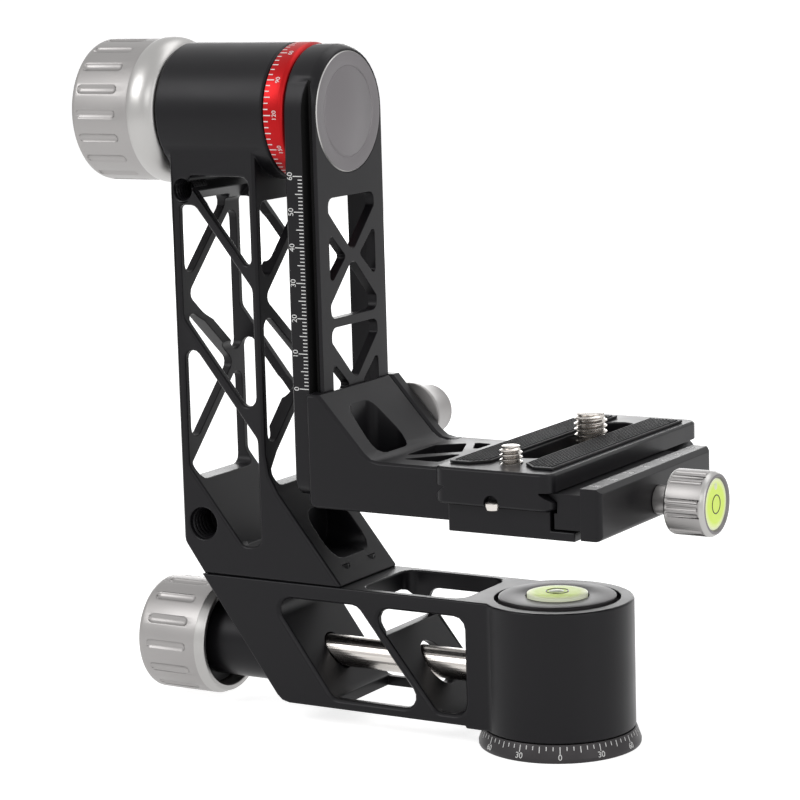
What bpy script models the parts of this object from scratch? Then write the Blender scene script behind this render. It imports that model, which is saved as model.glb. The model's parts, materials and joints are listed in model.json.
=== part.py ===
"""Gimbal head for long lenses: a graduated base, a turning lower arm, a truss column, a swing arm
that tilts, and a quick-release platform that climbs a millimetre scale. Metres, +Z up. The pan
axis is Z through the origin and the tilt axis runs along X."""

import bmesh
import bpy
from math import atan2, ceil, cos, hypot, pi, radians, sin, sqrt, tan
from mathutils import Vector

# General clearances and finishes
SEAT_GAP = 0.00005
TURN_GAP = 0.0001
SLIDE_GAP = 0.0002
OVERRUN = 0.001
EDGE_CHAMFER = 0.0007
FINE_CHAMFER = 0.0003
CORNER_STEP_DEG = 30
LARGE_SEGMENTS = 40
SMALL_SEGMENTS = 20
TINY_SEGMENTS = 12

# Base ring, spindle and tripod thread
BASE_BOTTOM_RADIUS = 0.02283
BASE_TOP_RADIUS = 0.0215
BASE_RIM_HEIGHT = 0.0012
BASE_HEIGHT = 0.00497
TRIPOD_THREAD_RADIUS = 0.0047
TRIPOD_BUSH_RADIUS = 0.0068
TRIPOD_BUSH_FLANGE_RADIUS = 0.0085
TRIPOD_BUSH_FLANGE_HEIGHT = 0.0015
TRIPOD_BUSH_HEIGHT = 0.012
SPINDLE_RADIUS = 0.0120
SPINDLE_TOP = 0.0300
RETAINER_RADIUS = 0.0146
RETAINER_THICKNESS = 0.0032
RETAINER_SCREW_RADIUS = 0.0030
RETAINER_SCREW_HEAD_RADIUS = 0.0052
RETAINER_SCREW_HEAD_HEIGHT = 0.0026
RETAINER_SCREW_LENGTH = 0.0120

# Lower arm and pan housing
HOUSING_RADIUS = 0.0214
ARM_HALF_WIDTH = 0.0160
ARM_TOP = 0.0416
ARM_UNDERSIDE = 0.0058
ARM_END = 0.1090
ARM_END_SLOPE = 0.735
ARM_END_TOE_RADIUS = 0.005
ARM_WALL = 0.0028
ARM_WINDOW_RADIUS = 0.0035
ARM_WINDOW_CHAMFER = 0.0009
WINDOW_TOP = 0.0368
WINDOW_BOTTOM = 0.0087
WEB_SLOPE = 0.797
NEAR_WINDOW_RIGHT_X = -0.0213
WEB_THICKNESS = 0.0032
FAR_WINDOW_RIGHT_TOP_X = -0.0564
FAR_WINDOW_LEFT_TOP_X = -0.0857
TOP_POCKET_LEFT_X = -0.0562
TOP_POCKET_RIGHT_X = -0.0230
TOP_POCKET_RADIUS = 0.0040
WEB_TOP = 0.0300
FLOOR_OPENING_LEFT_X = -0.0640
CAP_WALL = 0.0037
CAP_GROOVE_WIDTH = 0.00117
CAP_GROOVE_RADIUS = HOUSING_RADIUS - CAP_WALL
CAP_RADIUS = CAP_GROOVE_RADIUS - CAP_GROOVE_WIDTH
CAP_SEAT_DEPTH = 0.0022
CAP_PROUD = 0.0006
LEVEL_RADIUS = 0.0085
LEVEL_DEPTH = 0.0016
LEVEL_PROUD = 0.0003

# Pan lock
PAN_LOCK_Z = 0.0188
ROD_RADIUS = 0.0045
ROD_INNER_END_X = -0.0172
ROD_HOLE_CLEARANCE = 0.0003
WEB_HOLE_CLEARANCE = 0.0012
SLEEVE_RADIUS = 0.0110
SLEEVE_SEAT_X = -0.0845
SLEEVE_END_X = -0.1135
PAN_KNOB_RADIUS = 0.01635
PAN_KNOB_OUTER_X = -0.1330
PAN_KNOB_LIP_X = -0.1095
PAN_KNOB_LIP_RADIUS = 0.0154
PAN_KNOB_BEVEL_X = -0.1123
PAN_KNOB_BORE_RADIUS = 0.0139
PAN_KNOB_CUP_X = -0.1165
PAN_KNOB_GROOVE_OUTER_X = -0.1296
PAN_KNOB_GROOVE_INNER_X = -0.1152
PAN_KNOB_GROOVES = 14
KNOB_GROOVE_CUTTER_RADIUS = 0.0019
KNOB_GROOVE_DEPTH = 0.0008
PAN_HUB_THICKNESS = 0.0020
ROD_KNOB_GRIP = 0.0070

# Vertical arm
COLUMN_LEFT_X = -0.11485
COLUMN_RIGHT_X = -0.0855
COLUMN_FOOT_LEFT_X = -0.1082
COLUMN_FOOT_BEND_Z = 0.0509
COLUMN_TOE_X = -0.0615
COLUMN_TOE_HEIGHT = 0.0007
COLUMN_FLARE_SLOPE = 0.804
COLUMN_FLARE_RADIUS = 0.0180
COLUMN_WINDOW_LEFT_X = -0.1121
COLUMN_WINDOW_RIGHT_X = -0.0880
COLUMN_WINDOW_SLOPE = 0.80
COLUMN_WINDOW_RADIUS = 0.0028
COLUMN_WINDOW_CHAMFER = 0.0006
COLUMN_HIGH_FOOT_Z = 0.1606
COLUMN_HIGH_TOP_Z = 0.1580
COLUMN_MIDDLE_TOP_Z = 0.1496
COLUMN_STRUT_HEIGHT = 0.0043
COLUMN_WINDOW_PITCH = 0.0436
COLUMN_LOW_POCKET_Z = 0.0510
COLUMN_SIDE_WALL = 0.0029
COLUMN_FACE_WALL = 0.0044
COLUMN_HOLLOW_TOP_Z = 0.1560
FACE_RAIL = 0.0024
FACE_STRUT_HEIGHT = 0.0039
FACE_RISE_HEIGHT = 0.0272
FACE_FALL_HEIGHT = 0.0231
FACE_TOP_Z = 0.1510
FACE_FIRST_CORNER_Z = 0.1260
FACE_BOTTOM_Z = 0.0692
FACE_WINDOW_RADIUS = 0.0026
FLARE_POCKET_HALF_WIDTH = 0.0100
FLARE_POCKET_LOW_Z = 0.0480
FLARE_POCKET_HIGH_Z = 0.0615
FLARE_POCKET_BACK_X = -0.0815
FLARE_POCKET_RADIUS = 0.0045
SMALL_THREAD_RADIUS = 0.0031
SMALL_THREAD_DEPTH = 0.0090
SMALL_THREAD_X = -0.1105
SMALL_THREAD_Z = 0.1540
LARGE_THREAD_RADIUS = 0.0047
LARGE_THREAD_DEPTH = 0.0110
LARGE_THREAD_X = -0.1078
LARGE_THREAD_Z = 0.0566
THREAD_RIM = 0.0004
BOLT_RADIUS = 0.0025
BOLT_HEAD_RADIUS = 0.0042
BOLT_HEAD_HEIGHT = 0.0030
BOLT_SINK = 0.0032
BOLT_TIP_Z = 0.0464
BOLT_FAR_X = -0.0780
BOLT_NEAR_X = -0.0665
BOLT_HALF_SPREAD = 0.0070

# Tilt housing, shaft, lock and scale ring
TILT_Z = 0.1758
TILT_HOUSING_RADIUS = 0.0195
TILT_HOUSING_OUTER_X = -0.1169
TILT_HOUSING_INNER_X = -0.0800
TILT_SHAFT_RADIUS = 0.0120
TILT_SHAFT_OUTER_X = -0.1155
SCALE_RING_RADIUS = 0.0195
SCALE_RING_CHAMFER_RADIUS = 0.0184
SCALE_RING_OUTER_X = -0.0796
SCALE_RING_BEVEL_X = -0.0746
TILT_KNOB_RADIUS = 0.02065
TILT_KNOB_END_RADIUS = 0.0193
TILT_KNOB_SHOULDER_RADIUS = 0.0212
TILT_KNOB_NOSE_RADIUS = 0.0176
TILT_KNOB_OUTER_X = -0.1457
TILT_KNOB_GROOVE_OUTER_X = -0.1439
TILT_KNOB_GROOVE_INNER_X = -0.1294
TILT_KNOB_BEVEL_OUTER_X = -0.1256
TILT_KNOB_BEVEL_INNER_X = -0.1228
TILT_KNOB_GROOVES = 18
TILT_STUD_RADIUS = 0.0040
TILT_STUD_INNER_X = -0.0970
TILT_STUD_GRIP = 0.0100

# Swing arm
SWING_BACK_X = -0.0734
SWING_SHOULDER_X = -0.06755
SWING_GROOVE_DEEP_X = -0.0664
SWING_GROOVE_FRONT_X = -0.0656
SWING_LIP_X = -0.0643
SWING_FACE_X = -0.0635
SWING_HALF_WIDTH = 0.0190
SWING_LIP_HALF_WIDTH = 0.0182
SWING_FACE_HALF_WIDTH = 0.0176
SWING_GROOVE_HALF_WIDTH = 0.0163
SWING_BOTTOM_Z = 0.0679
SWING_BOTTOM_RADIUS = 0.0050
SWING_FACE_THICKNESS = 0.0029
SWING_CHANNEL_HALF_WIDTH = 0.0138
SWING_CHANNEL_TOP_Z = 0.1540
SWING_CHANNEL_RADIUS = 0.0035
CELL_TOP_CENTRE_Z = 0.13515
CELL_PITCH = 0.0367
CELL_HALF_HEIGHT = 0.01705
CELL_HALF_WIDTH = 0.0122
CELL_SHOULDER = 0.0130
CELL_NOTCH = 0.0009
CELL_SIDE_APEX = 0.0036
CELL_SIDE_HALF_HEIGHT = 0.0075
CELL_RADIUS = 0.0022
SWING_CAP_RADIUS = 0.0171
SWING_CAP_THICKNESS = 0.0010
SWING_CAP_PROUD = 0.0001
SWING_CAP_RING_RADIUS = 0.0125
SWING_CAP_RING_WIDTH = 0.0006
SWING_CAP_RING_DEPTH = 0.0002
SWING_SCREW_CIRCLE_RADIUS = 0.0078
SWING_SCREW_RADIUS = 0.0020
SWING_SCREW_HEAD_RADIUS = 0.0035
SWING_SCREW_HEAD_HEIGHT = 0.0022
SWING_SCREW_TIP_X = -0.0820
SWING_SCREWS = 4

# Sliding bracket
BRACKET_BACK_X = -0.0667
BRACKET_TOP_Z = 0.0981
BRACKET_TOP_EDGE_X = -0.0624
BRACKET_HALF_WIDTH = 0.0224
BRACKET_BOTTOM_Z = 0.0657
BRACKET_TOE_RADIUS = 0.0022
PLATFORM_TOP_Z = 0.08035
PLATFORM_FILLET_RADIUS = 0.0065
BRACKET_SLOPE = 0.90
BRACKET_SLIT_LOW_Y = 0.0163
BRACKET_SLIT_HIGH_Y = 0.0177
BRACKET_SLIT_END_X = -0.0415
GUSSET_BACK_X = -0.0588
GUSSET_FRONT_X = -0.0468
GUSSET_BACK_LOW_Y = -0.0135
GUSSET_BACK_HIGH_Y = -0.0010
GUSSET_FRONT_LOW_Y = -0.0165
GUSSET_FRONT_HIGH_Y = 0.0030
GUSSET_FLOOR_Z = 0.0770
GUSSET_RADIUS = 0.0036
PLATFORM_POCKET_FLOOR_Z = 0.0690
PLATFORM_POCKET_RADIUS = 0.0009
PLATFORM_POCKET_LEFT_X = -0.0425
PLATFORM_POCKET_RIGHT_X = -0.0282
PLATFORM_POCKET_HALF_WIDTH = 0.0150
PLATFORM_RIB = 0.0018
BRACKET_KNOB_X = -0.0595
BRACKET_KNOB_Z = 0.0855
BRACKET_KNOB_BASE_RADIUS = 0.0096
BRACKET_KNOB_TIP_RADIUS = 0.0068
BRACKET_KNOB_END_Y = 0.0362
BRACKET_KNOB_ROUND = 0.0020
BRACKET_STUD_RADIUS = 0.0020
BRACKET_STUD_TIP_Y = 0.0040

# Quick-release clamp
CLAMP_LEFT_X = -0.0148
CLAMP_RIGHT_X = 0.0162
CLAMP_LEDGE_X = 0.0234
CLAMP_LEDGE_Z = 0.0682
CLAMP_TOP_Z = 0.07355
CLAMP_HALF_LENGTH = 0.0340
CLAMP_SCREW_Z = 0.0698
CLAMP_SCREW_SPREAD = 0.0130
CLAMP_SCREW_HEAD_X = -0.0070
CLAMP_SCREW_TIP_X = -0.0240
CLAMP_SCREW_HEAD_RADIUS = 0.0032
CLAMP_SCREW_RADIUS = 0.0019
JAW_INNER_X = 0.0255
JAW_OUTER_X = 0.0314
JAW_BOTTOM_Z = 0.0664
JAW_TOP_Z = 0.0804
JAW_SHELF_Z = 0.0784
JAW_HALF_LENGTH = 0.0347
JAW_CORNER_RADIUS = 0.0018
JAW_TOP_CHAMFER = 0.0013
JAW_TONGUE_X = 0.0173
JAW_TONGUE_LOW_Z = 0.0687
JAW_TONGUE_HIGH_Z = 0.0731
JAW_PIN_SPREAD = 0.0240
JAW_PIN_RADIUS = 0.0012
JAW_PIN_DEPTH = 0.0110
CLAMP_KNOB_Z = 0.0716
CLAMP_STUD_RADIUS = 0.0015
CLAMP_STUD_TIP_X = 0.0020
CLAMP_KNOB_NECK_RADIUS = 0.0040
CLAMP_KNOB_INNER_X = 0.0369
CLAMP_KNOB_OUTER_X = 0.0490
CLAMP_KNOB_RADIUS = 0.00896
CLAMP_KNOB_BEVEL = 0.0011
CLAMP_KNOB_FLUTE_DEPTH = 0.0007
CLAMP_KNOB_GROUPS = 6
CLAMP_KNOB_FLUTES = 3
FLUTED_SHARE = 0.62
KNOB_LEVEL_RADIUS = 0.0073
KNOB_LEVEL_DEPTH = 0.0030
KNOB_LEVEL_SINK = 0.0003

# Camera plate
PLATE_HALF_WIDTH = 0.01795
PLATE_FRONT_Y = -0.0369
PLATE_BACK_Y = 0.0553
PLATE_TOP_Z = 0.08376
PLATE_BOTTOM_Z = 0.07375
PLATE_CORNER_RADIUS = 0.0035
PLATE_LEDGE_Z = 0.0786
PLATE_NOTCH_HALF_WIDTH = 0.0143
PLATE_FLARE_Z = 0.0758
DOVETAIL_TIP_LAND = 0.0003
STRIP_INNER_X = 0.0053
STRIP_OUTER_X = 0.0155
STRIP_FRONT_Y = -0.0310
STRIP_BACK_Y = 0.0495
STRIP_THICKNESS = 0.0010
STRIP_RADIUS = 0.0026
SLOT_HALF_WIDTH = 0.0049
SLOT_FRONT_Y = -0.0170
SLOT_BACK_Y = 0.0435
SLOT_HEAD_HALF_WIDTH = 0.0072
SCREW_HEAD_ROOF_Z = 0.0795
SMALL_SCREW_Y = -0.0250
SMALL_SCREW_RADIUS = 0.0031
SMALL_SCREW_HEAD_RADIUS = 0.0050
SMALL_SCREW_TOP_Z = 0.0886
SMALL_SCREW_PITCH = 0.00127
LARGE_SCREW_Y = 0.0220
LARGE_SCREW_RADIUS = 0.0047
LARGE_SCREW_HEAD_RADIUS = 0.0068
LARGE_SCREW_TOP_Z = 0.0925
LARGE_SCREW_PITCH = 0.0016
CAMERA_SCREW_HEAD_HEIGHT = 0.0048
SCREW_HOLE_CLEARANCE = 0.0002
STOP_SCREW_SINK = 0.0024
STOP_SCREW_RADIUS = 0.0014
STOP_SCREW_HEAD_RADIUS = 0.0021
STOP_SCREW_HEAD = 0.0016

AXES = {"X": Vector((1, 0, 0)), "Y": Vector((0, 1, 0)), "Z": Vector((0, 0, 1))}
FINISHES = {
    "black_anodised": ((0.018, 0.018, 0.02, 1), 0.6, 0.42),
    "silver_satin": ((0.55, 0.54, 0.52, 1), 0.9, 0.33),
    "red_anodised": ((0.75, 0.02, 0.02, 1), 0.4, 0.35),
    "grey_satin": ((0.23, 0.23, 0.24, 1), 0.7, 0.45),
    "steel": ((0.62, 0.60, 0.57, 1), 1.0, 0.2),
    "brass": ((0.72, 0.52, 0.24, 1), 1.0, 0.35),
    "level_green": ((0.62, 0.85, 0.12, 1), 0.0, 0.15),
    "rubber": ((0.02, 0.02, 0.02, 1), 0.0, 0.8),
    "black_plastic": ((0.02, 0.02, 0.02, 1), 0.0, 0.5),
}


def collection(name):
    made = bpy.data.collections.new(name)
    bpy.context.scene.collection.children.link(made)
    return made


def place(axis, depth, u, v):
    """The point at a depth along an axis, with u and v across it."""
    if axis == "X":
        return Vector((depth, u, v))
    if axis == "Y":
        return Vector((u, depth, v))
    return Vector((u, v, depth))


def rounded(corners, grow=0.0):
    """A counter-clockwise outline of (u, v, radius) corners, moved outward by grow."""
    count = len(corners)
    lines = []
    for index, (u, v, _) in enumerate(corners):
        next_u, next_v, _ = corners[(index + 1) % count]
        length = hypot(next_u - u, next_v - v)
        du, dv = (next_u - u) / length, (next_v - v) / length
        lines.append((u + dv * grow, v - du * grow, du, dv))
    points = []
    for index, (_, _, radius) in enumerate(corners):
        u0, v0, du0, dv0 = lines[index - 1]
        u1, v1, du1, dv1 = lines[index]
        turn = du0 * dv1 - dv0 * du1
        along = ((u1 - u0) * dv1 - (v1 - v0) * du1) / turn
        corner = (u0 + du0 * along, v0 + dv0 * along)
        angle = atan2(turn, du0 * du1 + dv0 * dv1)
        if radius == 0:
            points.append(corner)
            continue
        reach = radius + grow if angle > 0 else radius - grow
        back = reach * tan(abs(angle) / 2)
        side = 1 if angle > 0 else -1
        start = (corner[0] - du0 * back, corner[1] - dv0 * back)
        centre = (start[0] - dv0 * reach * side, start[1] + du0 * reach * side)
        steps = max(2, ceil(abs(angle) / radians(CORNER_STEP_DEG)))
        first = atan2(start[1] - centre[1], start[0] - centre[0])
        for step in range(steps + 1):
            at = first + angle * step / steps
            points.append((centre[0] + reach * cos(at), centre[1] + reach * sin(at)))
    return points


def even(points, radius):
    """The same radius on every corner."""
    return [(u, v, radius) for u, v in points]


def mirrored(corners):
    """The outline reflected across its v axis, still counter-clockwise."""
    return [(-u, v, radius) for u, v, radius in reversed(corners)]


def rectangle(low_u, high_u, low_v, high_v, radius=0.0):
    return even([(low_u, low_v), (high_u, low_v), (high_u, high_v), (low_u, high_v)], radius)


def circle(centre_u, centre_v, radius, segments):
    return [(centre_u + radius * cos(2 * pi * k / segments),
             centre_v + radius * sin(2 * pi * k / segments)) for k in range(segments)]


def as_object(name, mesh_data, home, at=(0, 0, 0)):
    """A mesh in world coordinates becomes an object whose origin is at the given point."""
    bmesh.ops.translate(mesh_data, verts=mesh_data.verts, vec=-Vector(at))
    bmesh.ops.recalc_face_normals(mesh_data, faces=mesh_data.faces)
    mesh = bpy.data.meshes.new(name)
    mesh_data.to_mesh(mesh)
    mesh_data.free()
    made = bpy.data.objects.new(name, mesh)
    made.location = at
    home.objects.link(made)
    return made


def skin(mesh_data, axis, sections, closed=False):
    """Joins equal loops at successive depths, then closes both ends or joins last to first."""
    rings = []
    for depth, loop in sections:
        rings.append([mesh_data.verts.new(place(axis, depth, u, v)) for u, v in loop])
    count = len(rings[0])
    pairs = list(zip(rings, rings[1:]))
    if closed:
        pairs.append((rings[-1], rings[0]))
    for low, high in pairs:
        for k in range(count):
            after = (k + 1) % count
            mesh_data.faces.new((low[k], low[after], high[after], high[k]))
    if not closed:
        mesh_data.faces.new(rings[0])
        mesh_data.faces.new(rings[-1])


def slab(name, home, axis, corners, low, high, chamfer=0.0, at=(0, 0, 0)):
    """A milled plate with an outline across one axis and chamfered rims."""
    sections = [(low, rounded(corners)), (high, rounded(corners))]
    if chamfer:
        sections = [(low, rounded(corners, -chamfer)), (low + chamfer, rounded(corners)),
                    (high - chamfer, rounded(corners)), (high, rounded(corners, -chamfer))]
    mesh_data = bmesh.new()
    skin(mesh_data, axis, sections)
    return as_object(name, mesh_data, home, at)


def window(name, axis, corners, low, high, chamfer):
    """A cutter for an opening whose rims flare by a chamfer at both faces of a wall."""
    wide = rounded(corners, chamfer + OVERRUN)
    plain = rounded(corners)
    mesh_data = bmesh.new()
    skin(mesh_data, axis, [(low - OVERRUN, wide), (low + chamfer, plain),
                           (high - chamfer, plain), (high + OVERRUN, wide)])
    return as_object(name, mesh_data, CUTTERS)


def turned(name, home, axis, profile, centre, segments=LARGE_SEGMENTS, at=(0, 0, 0), closed=False):
    """Sweeps a profile of (depth, radius) points round an axis through centre (u, v).

    An open profile starts and ends on the axis and gets flat ends; a closed one has a bore."""
    mesh_data = bmesh.new()
    rings = [(depth, circle(centre[0], centre[1], radius, segments))
             for depth, radius in profile if radius > 0]
    skin(mesh_data, axis, rings, closed)
    return as_object(name, mesh_data, home, at)


def rod(name, home, axis, radius, low, high, centre, segments=SMALL_SEGMENTS, chamfer=0.0,
        at=(0, 0, 0)):
    """A round bar with optional end chamfers."""
    profile = [(low, 0.0), (low, radius - chamfer), (low + chamfer, radius),
               (high - chamfer, radius), (high, radius - chamfer), (high, 0.0)]
    if not chamfer:
        profile = [(low, 0.0), (low, radius), (high, radius), (high, 0.0)]
    return turned(name, home, axis, profile, centre, segments, at)


def combine(target, other, operation):
    """A boolean whose tool leaves the part."""
    if other.name not in CUTTERS.objects:
        CUTTERS.objects.link(other)
        PARTS.objects.unlink(other)
    other.hide_render = True
    other.display_type = "WIRE"
    modifier = target.modifiers.new(f"{operation.title()} {other.name}", "BOOLEAN")
    modifier.operation = operation
    modifier.object = other
    modifier.solver = "EXACT"


def cut(target, *tools):
    for tool in tools:
        combine(target, tool, "DIFFERENCE")


def merged(name, pieces):
    """Separate cutters that don't touch, held in one mesh."""
    mesh_data = bmesh.new()
    for piece in pieces:
        mesh_data.from_mesh(piece.data)
        bpy.data.objects.remove(piece)
    return as_object(name, mesh_data, CUTTERS)


def bolt(name, axis, tip, neck, top, shank_radius, head_radius, centre, socket=True):
    """A cap screw: shank from tip to neck, head from neck to top, with a socket in the head."""
    step = 1 if top > neck else -1
    profile = [(tip, 0.0), (tip, shank_radius), (neck, shank_radius), (neck, head_radius),
               (top, head_radius), (top, head_radius / 2)]
    depth = top - step * abs(top - neck) / 2
    profile += [(depth, head_radius / 2), (depth, 0.0)] if socket else [(top, 0.0)]
    return turned(name, PARTS, axis, profile, centre, TINY_SEGMENTS)


def grooved(name, knob, count, radius, low, high, centre):
    """Oval finger grooves round a knob, cut by short round-nosed bars."""
    nose = KNOB_GROOVE_CUTTER_RADIUS
    away = radius + nose - KNOB_GROOVE_DEPTH
    bars = []
    for index in range(count):
        angle = 2 * pi * (index + 0.5) / count
        at = (centre[0] + away * cos(angle), centre[1] + away * sin(angle))
        profile = [(low, nose / 3), (low + nose / 2, nose * sqrt(3) / 2), (low + nose, nose),
                   (high - nose, nose), (high - nose / 2, nose * sqrt(3) / 2), (high, nose / 3)]
        bars.append(turned(f"{name}_{index}", CUTTERS, "X", profile, at, TINY_SEGMENTS))
    cut(knob, merged(name, bars))


def base():
    bore = TRIPOD_BUSH_RADIUS + SEAT_GAP
    flange = TRIPOD_BUSH_FLANGE_RADIUS + SEAT_GAP
    flange_low = BASE_HEIGHT - TRIPOD_BUSH_FLANGE_HEIGHT
    profile = [(0.0, bore), (0.0, BASE_BOTTOM_RADIUS - FINE_CHAMFER),
               (FINE_CHAMFER, BASE_BOTTOM_RADIUS), (BASE_RIM_HEIGHT, BASE_BOTTOM_RADIUS),
               (BASE_HEIGHT, BASE_TOP_RADIUS), (BASE_HEIGHT, flange),
               (flange_low, flange), (flange_low, bore)]
    turned("base_ring", PARTS, "Z", profile, (0, 0), closed=True)
    thread = TRIPOD_THREAD_RADIUS
    top = TRIPOD_BUSH_HEIGHT
    seat = flange_low + SEAT_GAP
    turned("tripod_bush", PARTS, "Z",
           [(0.0, thread + THREAD_RIM), (0.0, TRIPOD_BUSH_RADIUS), (seat, TRIPOD_BUSH_RADIUS),
            (seat, TRIPOD_BUSH_FLANGE_RADIUS), (BASE_HEIGHT, TRIPOD_BUSH_FLANGE_RADIUS),
            (BASE_HEIGHT, TRIPOD_BUSH_RADIUS), (top, TRIPOD_BUSH_RADIUS), (top, thread),
            (THREAD_RIM, thread)], (0, 0), SMALL_SEGMENTS, closed=True)
    foot = BASE_HEIGHT + SEAT_GAP
    recess = TRIPOD_BUSH_RADIUS + SEAT_GAP
    tapped = SPINDLE_TOP - RETAINER_SCREW_LENGTH - TURN_GAP
    turned("pan_spindle", PARTS, "Z",
           [(top + TURN_GAP, 0.0), (top + TURN_GAP, recess), (foot, recess),
            (foot, SPINDLE_RADIUS), (SPINDLE_TOP, SPINDLE_RADIUS),
            (SPINDLE_TOP, RETAINER_SCREW_RADIUS + SEAT_GAP),
            (tapped, RETAINER_SCREW_RADIUS + SEAT_GAP), (tapped, 0.0)], (0, 0))
    low = SPINDLE_TOP + SEAT_GAP
    high = low + RETAINER_THICKNESS
    sink = high - RETAINER_SCREW_HEAD_HEIGHT / 2
    turned("pan_retainer", PARTS, "Z",
           [(low, RETAINER_SCREW_RADIUS + SEAT_GAP), (low, RETAINER_RADIUS),
            (high, RETAINER_RADIUS), (high, RETAINER_SCREW_HEAD_RADIUS + SEAT_GAP),
            (sink, RETAINER_SCREW_HEAD_RADIUS + SEAT_GAP),
            (sink, RETAINER_SCREW_RADIUS + SEAT_GAP)], (0, 0), closed=True)
    neck = sink + SEAT_GAP
    bolt("retainer_screw", "Z", SPINDLE_TOP - RETAINER_SCREW_LENGTH, neck,
         neck + RETAINER_SCREW_HEAD_HEIGHT, RETAINER_SCREW_RADIUS, RETAINER_SCREW_HEAD_RADIUS,
         (0, 0))


def slanted(low_z, high_z, left_at, right_at, radius):
    """A window between two level edges whose sides are lines x = side(z), or fixed x values."""
    return [(left_at(low_z), low_z, radius), (right_at(low_z), low_z, radius),
            (right_at(high_z), high_z, radius), (left_at(high_z), high_z, radius)]


def web_left(z):
    return FAR_WINDOW_RIGHT_TOP_X + (WINDOW_TOP - z) * WEB_SLOPE


def web_right(z):
    return web_left(z) + WEB_THICKNESS


def end_line(z, inset=0.0):
    return -ARM_END + (ARM_TOP - z) * ARM_END_SLOPE + inset


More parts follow.
